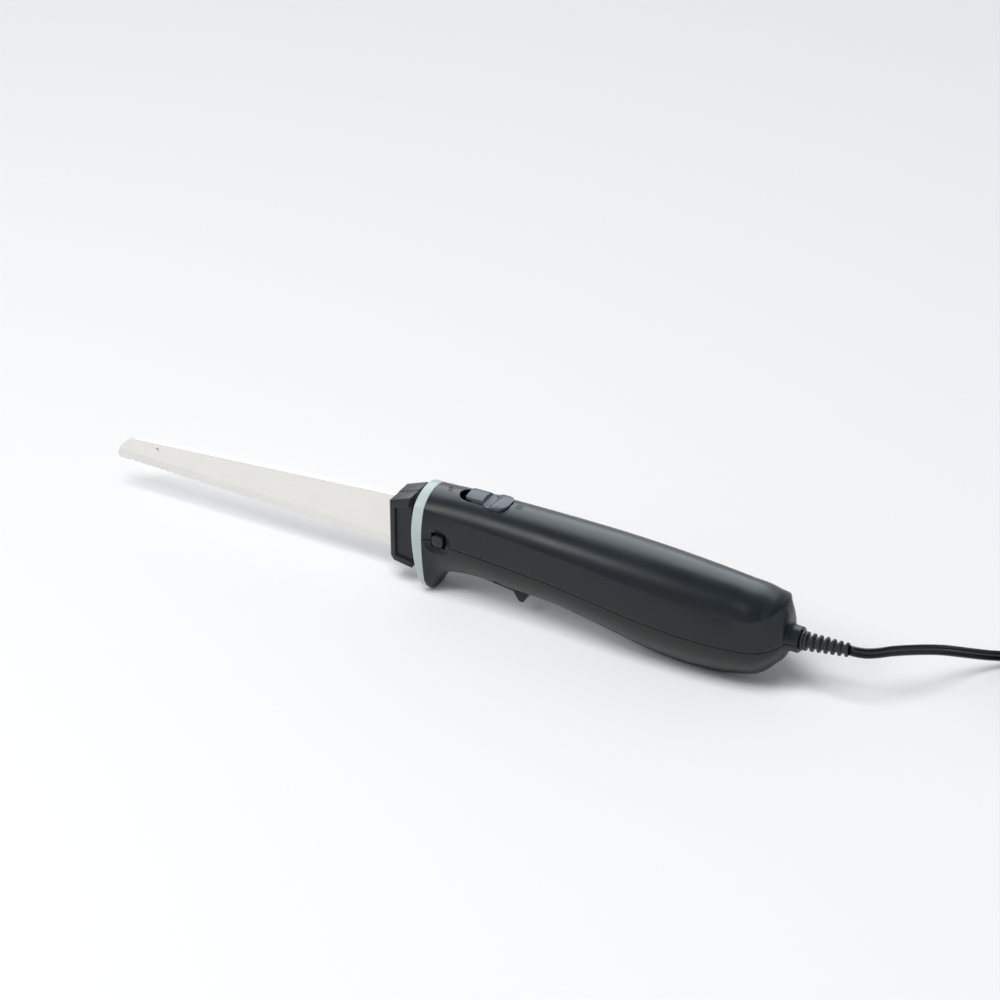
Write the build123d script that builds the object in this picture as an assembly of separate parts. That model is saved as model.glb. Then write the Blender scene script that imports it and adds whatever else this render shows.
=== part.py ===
from build123d import *
import math
import os

# Electric carving knife. The blades point along minus X and the cord leaves along plus X.
# Each piece is drawn from the seam between collar and handle, then moved so that the origin
# lies on the floor under the middle of the knife, measured without its cord.

# Overall sizes in millimetres
tip_reach = 226.0
seam_x = 4.0
body_length = 232.0
boss_reach = 7.0
handle_length = seam_x + body_length + boss_reach
body_height = 70.0
body_width = 48.0
wall = 2.2
seam_gap = 0.3
seat_gap = 0.3
slide_gap = 0.25
running_fit = 0.05
overrun = 3.0
shift_x = (tip_reach - handle_length) / 2
half_body = body_width / 2


def along(share):
    """A place along the body, as a share of its length behind the collar."""
    return seam_x + body_length * share


# Heights of the two working axes, and the drive between them
blade_axis_z = 43.0
gear_axis_z = 48.0
motor_axis_z = 33.0
gear_x = along(0.3448)
crank_radius = 3.0


def block(x0, x1, y0, y1, z0, z1):
    """A box between two corners."""
    centre = ((x0 + x1) / 2, (y0 + y1) / 2, (z0 + z1) / 2)
    return Pos(*centre) * Box(abs(x1 - x0), abs(y1 - y0), abs(z1 - z0))


def rod(axis, centre, radius, low, high):
    """A cylinder along X, Y or Z between two values of that axis."""
    length = high - low
    middle = (low + high) / 2
    x, y, z = centre
    if axis == "X":
        return Pos(middle, y, z) * Rot(0, 90, 0) * Cylinder(radius, length)
    if axis == "Y":
        return Pos(x, middle, z) * Rot(90, 0, 0) * Cylinder(radius, length)
    return Pos(x, y, middle) * Cylinder(radius, length)


def side_prism(points, y0, y1):
    """A straight-sided outline in X and Z, drawn out from y0 to y1."""
    outline = Polyline(*[(x, y0, z) for x, z in points], close=True)
    return extrude(make_face(outline), y1 - y0, dir=(0, 1, 0))


def mirrored(solid):
    return mirror(solid, about=Plane.XZ)


# Handle shells.
# Each row is one cross section: its place along the body, the heights of its top, bottom and
# seam as shares of body_height, the half width at the seam and at the upper crease, the rise
# of the crown, and the half width and rise of the rounded underside.
nose_station_shares = (
    (0.000, 0.986, -0.006, 0.600, 0.805, 0.650, 0.110, 0.680, 0.170),
    (0.006, 0.986, -0.006, 0.600, 0.805, 0.650, 0.110, 0.680, 0.170),
    (0.013, 0.988, 0.030, 0.599, 0.805, 0.655, 0.113, 0.640, 0.160),
    (0.026, 0.990, 0.110, 0.597, 0.806, 0.662, 0.118, 0.580, 0.130),
    (0.043, 0.994, 0.185, 0.594, 0.807, 0.672, 0.126, 0.530, 0.085),
    (0.065, 0.999, 0.220, 0.591, 0.807, 0.688, 0.134, 0.490, 0.062),
    (0.099, 1.003, 0.237, 0.587, 0.807, 0.704, 0.143, 0.458, 0.057),
)
grip_station_shares = (
    (0.099, 1.003, 0.237, 0.587, 0.807, 0.704, 0.143, 0.458, 0.057),
    (0.241, 1.009, 0.226, 0.564, 0.820, 0.763, 0.171, 0.458, 0.060),
    (0.371, 1.009, 0.194, 0.543, 0.875, 0.813, 0.186, 0.458, 0.071),
    (0.500, 1.003, 0.109, 0.507, 0.950, 0.867, 0.207, 0.458, 0.090),
    (0.629, 0.986, 0.023, 0.464, 1.000, 0.896, 0.229, 0.458, 0.093),
    (0.759, 0.957, -0.006, 0.437, 1.000, 0.885, 0.236, 0.458, 0.093),
    (0.866, 0.929, 0.034, 0.437, 0.942, 0.817, 0.230, 0.417, 0.089),
    (0.940, 0.900, 0.129, 0.449, 0.812, 0.729, 0.154, 0.417, 0.086),
    (0.978, 0.860, 0.264, 0.479, 0.635, 0.446, 0.046, 0.333, 0.071),
    (0.990, 0.837, 0.310, 0.497, 0.520, 0.180, 0.011, 0.290, 0.064),
    (1.000, 0.757, 0.386, 0.514, 0.420, 0.170, 0.011, 0.250, 0.057),
)


edge_inset_share = 0.8


def station_wire(shares, inset, x, floor_inset):
    """One cross section of the handle, drawn inset from its outer surface."""
    _, top, low, seam, wide, crease, crown, edge, rise = shares
    top_z = body_height * top - inset
    low_z = body_height * low + floor_inset
    seam_z = body_height * seam
    wide_y = half_body * wide - inset
    crease_y = half_body * crease - inset
    crease_z = top_z - body_height * crown * (crease_y / (half_body * crease))
    edge_y = half_body * edge - inset * edge_inset_share
    edge_z = low_z + body_height * rise * (edge_y / (half_body * edge))
    right_crease = (x, crease_y, crease_z)
    right_seam = (x, wide_y, seam_z)
    right_edge = (x, edge_y, edge_z)
    left_crease, left_seam, left_edge = [(x, -p[1], p[2]) for p in (right_crease, right_seam, right_edge)]
    return Wire([
        ThreePointArc(left_crease, (x, 0, top_z), right_crease).edge(),
        TangentArc(right_seam, right_crease, tangent=(0, 0, 1)).edge(),
        TangentArc(right_seam, right_edge, tangent=(0, 0, -1)).edge(),
        ThreePointArc(right_edge, (x, 0, low_z), left_edge).edge(),
        TangentArc(left_seam, left_edge, tangent=(0, 0, -1)).edge(),
        TangentArc(left_seam, left_crease, tangent=(0, 0, 1)).edge(),
    ])


def station_x(shares):
    return along(shares[0])


def handle_form(inset, nose_floor, rows):
    """One loft through cross sections, with the nose's own floor thickness."""
    wires = []
    for shares in rows:
        x = station_x(shares)
        floor = inset
        if shares in nose_station_shares:
            floor = nose_floor
        if inset > 0 and shares == rows[0]:
            x -= overrun
        if inset > 0 and shares == rows[-1]:
            x -= inset
        wires.append(station_wire(shares, inset, x, floor))
    return Solid.make_loft(wires, ruled=True)


nose_floor_wall = 4.0
station_rows = nose_station_shares + grip_station_shares[1:]
outer_form = handle_form(0, 0, station_rows)
inner_form = handle_form(wall, nose_floor_wall, station_rows[:-2] + station_rows[-1:])
front_station = station_rows[0]
rear_x = seam_x + body_length


def seam_points(rise):
    """The line on which the two shells meet, seen from the side."""
    stations = nose_station_shares[:1] + grip_station_shares
    points = [(station_x(s), 0, body_height * s[3] + rise) for s in stations]
    first = (seam_x - overrun, 0, points[0][2])
    last = (handle_length + overrun, 0, points[-1][2])
    return [first] + points + [last]


def seam_block(side, rise):
    """All the space above or below the seam line."""
    points = seam_points(rise)
    far_z = body_height * (1 + side) / 2 + side * 2 * overrun
    first, last = points[0], points[-1]
    curve = Spline(*points)
    frame = Polyline(last, (last[0], 0, far_z), (first[0], 0, far_z), first)
    return extrude(make_face([curve, frame]), body_width, both=True, dir=(0, 1, 0))


# Boss at the rear end that grips the strain relief
boss_radius = 7.8
boss_z = body_height * grip_station_shares[-1][3]
relief_neck_radius = 4.6
boss_root_x = rear_x - wall - overrun

# Screws that hold the shells together, from below: place along the handle and to the side
screw_shares = ((0.2069, 11.2), (0.2069, -11.2), (0.4310, 12.2), (0.4310, -12.2), (0.9009, 0.0))
screw_places = [(along(share), y) for share, y in screw_shares]
screw_boss_radius = 3.8
screw_head_radius = 2.7
screw_head_height = 1.8
screw_shank_radius = 1.45
screw_seat_depth = 9.0
screw_grip = 9.0
screw_clearance = 0.3

# Round dish in each side with the release button in it
dish_x = along(0.0453)
dish_z = 42.9
dish_radius = 9.5
dish_depth = 3.4
dish_side_y = 19.3
dish_ball = (dish_radius ** 2 + dish_depth ** 2) / (2 * dish_depth)
dish_centre_y = dish_side_y + dish_ball - dish_depth
button_size = 7.0
button_corner = 1.8
button_room = 1.3

# Slot and slide lock on top
slot_front_x = along(0.0720)
slot_rear_x = along(0.1810)
slot_width = 13.0
lock_travel = 6.0
lock_front_x = along(0.0983)
lock_length = along(0.2168) - lock_front_x
lock_width = 16.4
lock_rise = 1.8

# Trigger opening below
trigger_front_x = along(0.1060)
trigger_rear_x = along(0.2716)
trigger_width = 11.2
trigger_side_gap = 0.7
trigger_room_top_z = 23.0

# Ribs of the lower shell that carry the works: place, thickness and top
rib_thickness = 2.4
guide_rib_x = along(0.0905)
frame_rib_xs = (along(0.2974), along(0.3879))
stator_rib_xs = (along(0.5776), along(0.6638))

# Worm wheel frame, shaft and motor: the sizes that the ribs follow
frame_front_x = along(0.2328)
frame_rear_x = along(0.4224)
frame_half_width = 7.3
frame_low_z = 25.6
frame_top_z = 62.4
guide_half_width = 6.4
guide_low_z = 32.0
guide_top_z = 56.0
stator_half = 18.0
stator_corner = 10.0
stator_front_x = along(0.5603)
stator_rear_x = along(0.6983)


def seam_z_at(x):
    """Height of the seam line at a place along the handle."""
    curve = Spline(*seam_points(0))
    cut = curve.edge().intersect(Axis((x, 0, 0), (0, 0, 1)))
    if isinstance(cut, Vector):
        return cut.Z
    return cut[0].Z if hasattr(cut[0], "Z") else cut[0].center().Z


def cross_rib(x, low_z, top_z):
    """A thin wall across the inside of the shells."""
    slab = block(x, x + rib_thickness, -half_body, half_body, low_z, top_z)
    return slab & inner_form


def dish_cuts(radius):
    ball = Pos(dish_x, -dish_centre_y, dish_z) * Sphere(radius)
    return ball + mirrored(ball)


def stator_outline(grow):
    half = stator_half + grow
    return RectangleRounded(2 * half, 2 * half, stator_corner)


def button_bore(grow):
    """The square hole of one release button, drawn through the dish."""
    outline = Plane(origin=(dish_x, 0, dish_z), x_dir=(1, 0, 0), z_dir=(0, -1, 0))
    sketch = outline * RectangleRounded(button_size + 2 * grow, button_size + 2 * grow, button_corner)
    return extrude(sketch, dish_centre_y, both=True)


def shell_pair():
    """Upper and lower shells, with bosses, ribs, dishes, slot and trigger opening."""
    boss = rod("X", (0, 0, boss_z), boss_radius, boss_root_x, handle_length)
    neck = rod("X", (0, 0, boss_z), relief_neck_radius, boss_root_x - overrun, handle_length + overrun)
    walls = outer_form - inner_form + boss
    walls += dish_cuts(dish_ball + wall) & inner_form
    ribs = cross_rib(guide_rib_x, -overrun, guide_low_z - seat_gap)
    for x in frame_rib_xs:
        ribs += cross_rib(x, -overrun, frame_low_z - seat_gap)
    for x in stator_rib_xs:
        ribs += cross_rib(x, -overrun, motor_axis_z)
    motor_plane = Plane(origin=(stator_front_x - overrun, 0, motor_axis_z), x_dir=(0, 1, 0), z_dir=(1, 0, 0))
    motor_space = extrude(motor_plane * stator_outline(seat_gap), stator_rear_x - stator_front_x + 2 * overrun)
    hold_down = cross_rib(frame_rib_xs[0], frame_top_z + seat_gap, body_height + overrun)
    hold_down += cross_rib(frame_rib_xs[1], frame_top_z + seat_gap, body_height + overrun)
    lower_posts, upper_posts, cuts = [], [], []
    for x, y in screw_places:
        z = seam_z_at(x)
        lower_posts.append(rod("Z", (x, y, 0), screw_boss_radius, -overrun, z) & inner_form)
        upper_posts.append(rod("Z", (x, y, 0), screw_boss_radius, z, body_height + overrun) & inner_form)
        cuts.append(rod("Z", (x, y, 0), screw_head_radius + screw_clearance, -overrun, z - screw_seat_depth))
        cuts.append(rod("Z", (x, y, 0), screw_shank_radius + running_fit, -overrun, z + screw_grip + overrun))
    opening = block(trigger_front_x - trigger_side_gap, trigger_rear_x + 2 * trigger_side_gap,
                    -trigger_width / 2 - trigger_side_gap, trigger_width / 2 + trigger_side_gap,
                    -overrun, trigger_room_top_z)
    slot_length = slot_rear_x - slot_front_x
    slot = Pos((slot_front_x + slot_rear_x) / 2, 0, body_height) * extrude(
        SlotOverall(slot_length, slot_width), 3 * wall, both=True)
    floor_cut = block(-overrun, handle_length, -body_width, body_width, -body_height, 0)
    shared_cuts = dish_cuts(dish_ball) + button_bore(button_room) + neck + floor_cut
    lower = walls + ribs - motor_space
    for post in lower_posts:
        lower += post
    lower = (lower & seam_block(-1, -seam_gap / 2)) - shared_cuts - opening
    upper = walls + hold_down
    for post in upper_posts:
        upper += post
    upper = (upper & seam_block(1, seam_gap / 2)) - shared_cuts - slot
    for cut in cuts:
        lower -= cut
        upper -= cut
    return upper, lower


upper_housing, lower_housing = shell_pair()


# Collar that closes the front of the handle
collar_reach = 6.8
collar_low_reach = 2.0
collar_top_reach = 6.0
collar_edge = 1.0
collar_rim_length = 3.0
collar_rim_wall = 1.8
mouth_half_width = 4.3
mouth_low_z = 33.4
mouth_top_z = 52.6
mouth_corner = 2.0
rim_cut_top_z = 59.0


def front_face(inset, x):
    return make_face(station_wire(front_station, inset, x, inset))


def front_collar():
    body = extrude(front_face(0, seam_x), collar_reach + overrun, dir=(-1, 0, 0))
    low = (seam_x - collar_low_reach, 0, -overrun)
    middle = (seam_x - collar_reach, 0, body_height / 2)
    top = (seam_x - collar_top_reach, 0, body_height + overrun)
    bow = make_face([ThreePointArc(low, middle, top),
                     Polyline(top, (seam_x, 0, body_height + overrun), (seam_x, 0, -overrun), low)])
    body = body & extrude(bow, body_width, both=True, dir=(0, 1, 0))
    front_edges = body.edges().filter_by(lambda e: e.center().X < seam_x - collar_low_reach / 2)
    body = fillet(front_edges, collar_edge)
    rim = extrude(front_face(wall + seam_gap, seam_x), collar_rim_length, dir=(1, 0, 0))
    rim -= extrude(front_face(wall + seam_gap + collar_rim_wall, seam_x), collar_rim_length, dir=(1, 0, 0))
    rim -= block(0, seam_x + 2 * overrun, -half_body, half_body, -overrun, rim_cut_top_z)
    mouth_plane = Plane(origin=(0, 0, (mouth_low_z + mouth_top_z) / 2), x_dir=(0, 1, 0), z_dir=(1, 0, 0))
    mouth = extrude(mouth_plane * RectangleRounded(2 * mouth_half_width, mouth_top_z - mouth_low_z,
                                                   mouth_corner), collar_reach + overrun, both=True)
    floor = block(-collar_reach, 2 * collar_reach, -half_body, half_body, -body_height, 0)
    return body + rim - mouth - floor


# Blades: two alike, each flat inside and ground outside along a scalloped edge
blade_thickness = 1.25
blade_gap = 0.05
blade_heel_x = -9.0
spine_tip = (-209.0, 40.8)
spine_heel_z = 56.2
tip_shoulder = (-221.4, 34.6)
tip_front = (-226.0, 26.4)
tip_low = (-225.2, 23.3)
edge_start = (-218.0, 23.0)
edge_end = (-24.4, 17.2)
heel_low_z = 16.9
scallop_count = 40
scallop_depth = 0.95
ground_height = 7.6
ground_edge = 0.3
ground_reach_share = 0.06
tang_rear_x = along(0.1552)
tang_height = 12.0
latch_hole_x = along(0.0453)
latch_hole_length = 6.0
latch_hole_height = 3.6

# Rivet that keeps the blade tips together, and the slot that lets them slide
rivet_place = (-197.0, 36.4)
rivet_radius = 1.3
rivet_head_radius = 2.2
rivet_head_height = 0.5
stroke = 2.75
rivet_slot_length = 4 * stroke + 2 * rivet_radius + 2 * seat_gap


def scalloped_edge(y):
    """The cutting edge: equal concave bites between sharp points."""
    (x0, z0), (x1, z1) = edge_start, edge_end
    arcs = []
    for i in range(scallop_count):
        share_a, share_b = i / scallop_count, (i + 1) / scallop_count
        a = (x0 + (x1 - x0) * share_a, y, z0 + (z1 - z0) * share_a)
        b = (x0 + (x1 - x0) * share_b, y, z0 + (z1 - z0) * share_b)
        middle = ((a[0] + b[0]) / 2, y, (a[2] + b[2]) / 2 + scallop_depth)
        arcs.append(ThreePointArc(a, middle, b).edge())
    return arcs


def ground_wedge(outer_y, inner_y):
    """What the grinding takes off the outer face along the edge."""
    side = 1 if outer_y > inner_y else -1
    run = Vector(edge_end[0] - edge_start[0], 0, edge_end[1] - edge_start[1])
    heel = Vector(edge_end[0], 0, edge_end[1])
    corners = [(outer_y, ground_height), (outer_y + side * overrun, ground_height),
               (outer_y + side * overrun, -overrun), (inner_y + side * ground_edge, -overrun),
               (inner_y + side * ground_edge, 0)]
    outline = Polyline(*[heel + Vector(0, y, z) for y, z in corners], close=True)
    return extrude(make_face(outline), run.length * (1 + ground_reach_share), dir=-run)


def blade(side):
    """One blade with its tang; side is -1 for the near one and 1 for the far one."""
    inner_y = side * blade_gap / 2
    outer_y = inner_y + side * blade_thickness
    y = min(inner_y, outer_y)
    tang_low_z = blade_axis_z - tang_height / 2
    tang_top_z = blade_axis_z + tang_height / 2
    edges = [ThreePointArc((spine_tip[0], y, spine_tip[1]), (tip_shoulder[0], y, tip_shoulder[1]),
                           (tip_front[0], y, tip_front[1])).edge()]
    edges += Polyline((tip_front[0], y, tip_front[1]), (tip_low[0], y, tip_low[1]),
                      (edge_start[0], y, edge_start[1])).edges()
    edges += scalloped_edge(y)
    edges += Polyline((edge_end[0], y, edge_end[1]), (blade_heel_x, y, heel_low_z),
                      (blade_heel_x, y, tang_low_z), (tang_rear_x, y, tang_low_z),
                      (tang_rear_x, y, tang_top_z), (blade_heel_x, y, tang_top_z),
                      (blade_heel_x, y, spine_heel_z), (spine_tip[0], y, spine_tip[1])).edges()
    solid = extrude(make_face(Wire(edges)), blade_thickness, dir=(0, 1, 0))
    solid -= ground_wedge(outer_y, inner_y)
    solid -= block(latch_hole_x - latch_hole_length / 2, latch_hole_x + latch_hole_length / 2, -overrun,
                   overrun, blade_axis_z - latch_hole_height / 2, blade_axis_z + latch_hole_height / 2)
    hole_plane = Plane(origin=(rivet_place[0], 0, rivet_place[1]), x_dir=(1, 0, 0), z_dir=(0, -1, 0))
    if side < 0:
        return solid - extrude(hole_plane * Circle(rivet_radius), overrun, both=True)
    slot = hole_plane * SlotOverall(rivet_slot_length, 2 * (rivet_radius + seat_gap))
    return solid - extrude(slot, overrun, both=True)


def tip_rivet():
    reach = blade_gap / 2 + blade_thickness
    centre = (rivet_place[0], 0, rivet_place[1])
    shank = rod("Y", centre, rivet_radius, -reach, reach + seat_gap / 2)
    near_head = rod("Y", centre, rivet_head_radius, -reach - rivet_head_height, -reach)
    far_head = rod("Y", centre, rivet_head_radius, reach + seat_gap / 2,
                   reach + seat_gap / 2 + rivet_head_height)
    return shank + near_head + far_head


# Guards, moulded on the heels of the blades
guard_half_width = 11.8
guard_front_x = -22.3
guard_rear_x = -7.7
guard_front_low_z = 15.4
guard_front_top_z = 57.0
guard_rear_low_z = 13.0
guard_rear_top_z = 63.2
guard_edge = 1.0
guard_frame = 2.2
guard_panel_depth = 0.9
guard_split = 0.2
guard_crown_drop = 1.3


def guard_half():
    """The near guard, with a sunk panel in its side and a sloping top."""
    corners = ((guard_front_x, guard_front_low_z), (guard_rear_x, guard_rear_low_z),
               (guard_rear_x, guard_rear_top_z), (guard_front_x, guard_front_top_z))
    body = side_prism(corners, -guard_half_width, -guard_split)
    top_edge = [(guard_rear_x, -guard_half_width, guard_rear_top_z - guard_crown_drop),
                (guard_rear_x, 0, guard_rear_top_z), (guard_rear_x, 0, guard_rear_top_z + overrun),
                (guard_rear_x, -guard_half_width, guard_rear_top_z + overrun)]
    length = guard_rear_x - guard_front_x
    drop = guard_rear_top_z - guard_front_top_z
    front_edge = [(x - length, y, z - drop) for x, y, z in top_edge]
    body -= Solid.make_loft([Wire.make_polygon([Vector(*p) for p in front_edge]),
                             Wire.make_polygon([Vector(*p) for p in top_edge])], ruled=True)
    outer = body.edges().filter_by(lambda e: e.center().Y < -guard_half_width + guard_edge / 2)
    body = chamfer(outer, guard_edge)
    panel = [(guard_front_x + guard_frame, guard_front_low_z + 2 * guard_frame),
             (guard_rear_x - guard_frame, guard_rear_low_z + 2 * guard_frame),
             (guard_rear_x - guard_frame, guard_rear_top_z - 2 * guard_frame),
             (guard_front_x + guard_frame, guard_front_top_z - 2 * guard_frame)]
    return body - side_prism(panel, -guard_half_width - overrun, -guard_half_width + guard_panel_depth)


# Blade holders: a channel for the tang, an arm, and the yoke that the eccentric drives
holder_front_x = along(0.0129)
channel_rear_x = along(0.1638)
channel_outer_y = 3.2
channel_inner_y = 1.5
channel_low_z = 35.0
channel_top_z = 51.0
channel_lip_y = 0.35
tang_clearance = 0.25
joggle_front_x = along(0.1569)
joggle_rear_x = along(0.1741)
arm_inner_y = 3.4
arm_outer_y = 5.0
arm_low_z = 38.0
arm_top_z = 50.0
eccentric_radius = 6.5
yoke_clearance = 0.2
yoke_rim = 2.2
latch_leaf = 0.5
latch_front_x = along(0.0259)
latch_rear_x = along(0.1164)
latch_half_height = 3.0


def yoke_slot(grow):
    """The upright slot in which the eccentric turns."""
    width = 2 * (eccentric_radius + yoke_clearance + grow)
    height = 2 * (eccentric_radius + crank_radius + yoke_clearance + grow)
    plane = Plane(origin=(gear_x, 0, gear_axis_z), x_dir=(1, 0, 0), z_dir=(0, -1, 0))
    return extrude(plane * SlotOverall(height, width, rotation=90), arm_outer_y + overrun, both=True)


def blade_holder():
    """The near holder; its front wraps the tang and its rear is the yoke."""
    channel = block(holder_front_x, channel_rear_x, -channel_outer_y, -channel_inner_y,
                    channel_low_z, channel_top_z)
    tang_low_z = blade_axis_z - tang_height / 2 - tang_clearance
    tang_top_z = blade_axis_z + tang_height / 2 + tang_clearance
    channel += block(holder_front_x, channel_rear_x, -channel_outer_y, -channel_lip_y, channel_low_z, tang_low_z)
    channel += block(holder_front_x, channel_rear_x, -channel_outer_y, -channel_lip_y, tang_top_z, channel_top_z)
    window = latch_hole_length / 2
    channel -= block(latch_hole_x - window, latch_hole_x + window, -channel_outer_y - overrun, -tang_clearance,
                     blade_axis_z - latch_hole_height / 2, blade_axis_z + latch_hole_height / 2)
    joggle = block(joggle_front_x, joggle_rear_x, -arm_outer_y, -channel_inner_y, arm_low_z, arm_top_z)
    arm = block(joggle_front_x, gear_x, -arm_outer_y, -arm_inner_y, arm_low_z, arm_top_z)
    strip = block(gear_x - half_body, gear_x + half_body, -arm_outer_y, -arm_inner_y, 0, body_height)
    yoke = yoke_slot(yoke_rim) & strip
    return channel + joggle + arm + yoke - (yoke_slot(0) & strip)


def latch_spring():
    """The leaf on the near holder whose tooth drops into the tang."""
    leaf = block(latch_front_x, latch_rear_x, -channel_outer_y - latch_leaf, -channel_outer_y,
                 blade_axis_z - latch_half_height, blade_axis_z + latch_half_height)
    tooth_half_length = latch_hole_length / 2 - seat_gap
    tooth_half_height = latch_hole_height / 2 - seat_gap
    return leaf + block(latch_hole_x - tooth_half_length, latch_hole_x + tooth_half_length,
                        -channel_outer_y, -blade_thickness / 2, blade_axis_z - tooth_half_height,
                        blade_axis_z + tooth_half_height)


# Guide that the holders slide in, between collar and worm wheel frame
guide_wall = 1.2
button_stem_radius = 1.7


def blade_guide():
    front_x = seam_x + seat_gap
    rear_x_guide = frame_front_x - seat_gap
    body = block(front_x, rear_x_guide, -guide_half_width, guide_half_width, guide_low_z, guide_top_z)
    body -= block(0, frame_front_x + overrun, -guide_half_width + guide_wall, guide_half_width - guide_wall,
                  guide_low_z + guide_wall, guide_top_z - guide_wall)
    return body - rod("Y", (dish_x, 0, dish_z), button_stem_radius + seat_gap, -half_body, half_body)


# Release buttons
button_face_y = 18.4
button_travel = 2.5
button_flange = 11.2
button_flange_height = 1.2
button_flange_y = dish_centre_y - dish_ball - wall - seat_gap
button_stem_end_y = 6.8
button_spring_wire = 0.35


def release_button():
    """The near button: cap, flange behind the dish, and stem."""
    plane = Plane(origin=(dish_x, -button_face_y, dish_z), x_dir=(1, 0, 0), z_dir=(0, 1, 0))
    cap = extrude(plane * RectangleRounded(button_size, button_size, button_corner),
                  button_face_y - button_flange_y)
    flange_y = -button_flange_y + button_flange_height
    half = button_flange / 2
    flange = block(dish_x - half, dish_x + half, -button_flange_y, flange_y, dish_z - half, dish_z + half)
    return cap + flange + rod("Y", (dish_x, 0, dish_z), button_stem_radius, flange_y, -button_stem_end_y)


def coil_spring(wire, coil_radius, length, turns):
    """A coil spring standing on Z, centred on its own axis."""
    path = Helix(length / turns, length, coil_radius)
    start = path.edge() if hasattr(path, "edge") else path
    plane = Plane(origin=start @ 0, z_dir=start % 0)
    return sweep(plane * Rectangle(2 * wire, 2 * wire), path=path, is_frenet=True)


def button_spring():
    low_y = -button_flange_y + button_flange_height + button_spring_wire + seat_gap / 2
    high_y = -guide_half_width - button_spring_wire - seat_gap / 2
    coil = coil_spring(button_spring_wire, button_stem_radius + 3 * button_spring_wire, high_y - low_y, 2)
    return Pos(dish_x, low_y, dish_z) * Rot(-90, 0, 0) * coil


# Worm wheel with its two eccentrics, half a turn apart
gear_teeth = 24
worm_starts = 2
gear_pitch_radius = 11.4
worm_pitch_radius = gear_axis_z - motor_axis_z - gear_pitch_radius
gear_half_width = 3.0
tooth_rise = 0.85
tooth_root = 1.1
axle_radius = 2.5
tooth_pitch = 2 * math.pi * gear_pitch_radius / gear_teeth
worm_lead = worm_starts * tooth_pitch
tooth_tip_share = 0.20
tooth_foot_share = 0.62


def gear_wire(y):
    """Outline of the teeth at one depth, turned to follow the thread."""
    lean = worm_lead / (2 * math.pi * worm_pitch_radius) * y / gear_pitch_radius
    points = []
    for i in range(gear_teeth):
        middle = 2 * math.pi * (i + 0.5) / gear_teeth
        for share, radius in ((-tooth_foot_share, -tooth_root), (-tooth_tip_share, tooth_rise),
                              (tooth_tip_share, tooth_rise), (tooth_foot_share, -tooth_root)):
            angle = middle + share * math.pi / gear_teeth + lean
            reach = gear_pitch_radius + radius
            points.append(Vector(gear_x - reach * math.sin(angle), y, gear_axis_z - reach * math.cos(angle)))
    return Wire.make_polygon(points)


def drive_gear():
    body = Solid.make_loft([gear_wire(y) for y in (-gear_half_width, 0, gear_half_width)], ruled=True)
    near = rod("Y", (gear_x, 0, gear_axis_z + crank_radius), eccentric_radius, -arm_outer_y, -gear_half_width)
    far = rod("Y", (gear_x, 0, gear_axis_z - crank_radius), eccentric_radius, gear_half_width, arm_outer_y)
    bore = rod("Y", (gear_x, 0, gear_axis_z), axle_radius + running_fit, -half_body, half_body)
    return body + near + far - bore


# Frame that holds the wheel's axle and the front bush
frame_wall = 2.0
frame_floor = 1.7
frame_window_low_z = 37.5
bush_outer_radius = 4.3
bush_length = 4.8
shaft_radius = 2.5
axle_end_y = frame_half_width + 0.7


def gear_frame():
    inner_y = frame_half_width - frame_wall
    body = block(frame_front_x, frame_rear_x, -frame_half_width, frame_half_width, frame_low_z, frame_top_z)
    body -= block(frame_front_x + bush_length, frame_rear_x + overrun, -inner_y, inner_y,
                  frame_low_z + frame_floor, frame_top_z + overrun)
    body -= block(frame_front_x - overrun, frame_rear_x + overrun, -inner_y, inner_y,
                  frame_window_low_z, frame_top_z - frame_wall)
    body -= rod("X", (0, 0, motor_axis_z), bush_outer_radius, 0, frame_front_x + bush_length + overrun)
    return body - rod("Y", (gear_x, 0, gear_axis_z), axle_radius, -half_body, half_body)


def gear_axle():
    return rod("Y", (gear_x, 0, gear_axis_z), axle_radius, -axle_end_y, axle_end_y)


def bush(low_x, length, outer_radius):
    centre = (0, 0, motor_axis_z)
    return rod("X", centre, outer_radius, low_x, low_x + length) - rod(
        "X", centre, shaft_radius + running_fit, 0, handle_length)


# Armature on its shaft, with the worm cut at the front end
shaft_front_x = along(0.2371)
shaft_rear_x = along(0.8707)
worm_reach = 10.5
worm_front_x = gear_x - worm_reach
worm_rear_x = gear_x + worm_reach
worm_root_radius = 2.65
worm_tip_radius = 4.35
thread_foot_half = 0.80
thread_sink = 0.25
thread_tip_half = 0.34
core_radius = 14.0
core_slots = 12
core_slot_width = 3.0
core_slot_depth = 5.2
winding_radius = 12.2
winding_length = 8.0
winding_edge = 2.5
winding_gap = 0.15
commutator_front_x = along(0.7543)
commutator_rear_x = along(0.8060)
commutator_radius = 8.5
commutator_slit = 0.6
commutator_slit_depth = 1.0
fan_front_x = along(0.4504)
fan_rear_x = along(0.4935)
fan_radius = 17.0
fan_hub_radius = 5.5
fan_disc = 1.4
fan_blades = 9
fan_blade_thickness = 1.2
fan_blade_start = 4.0
stator_bore_gap = 0.6


def worm_thread(turn):
    """One of the worm's threads, turned about the shaft by the given angle."""
    length = worm_rear_x - worm_front_x - 2 * overrun
    path = Helix(worm_lead, length, worm_root_radius)
    middle_turn = 360 * (length / 2) / worm_lead
    outline = Plane(origin=path @ 0, x_dir=(1, 0, 0), z_dir=path % 0)
    depth = worm_tip_radius - worm_root_radius
    profile = make_face(Polyline((-thread_sink, -thread_foot_half), (depth, -thread_tip_half),
                                 (depth, thread_tip_half), (-thread_sink, thread_foot_half), close=True))
    thread = sweep(outline * profile, path=path, is_frenet=True)
    thread = Rot(0, 0, -middle_turn + turn) * Pos(0, 0, -length / 2) * thread
    return Pos(gear_x, 0, motor_axis_z) * Rot(0, 90, 0) * Rot(0, 0, 180) * thread


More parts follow.
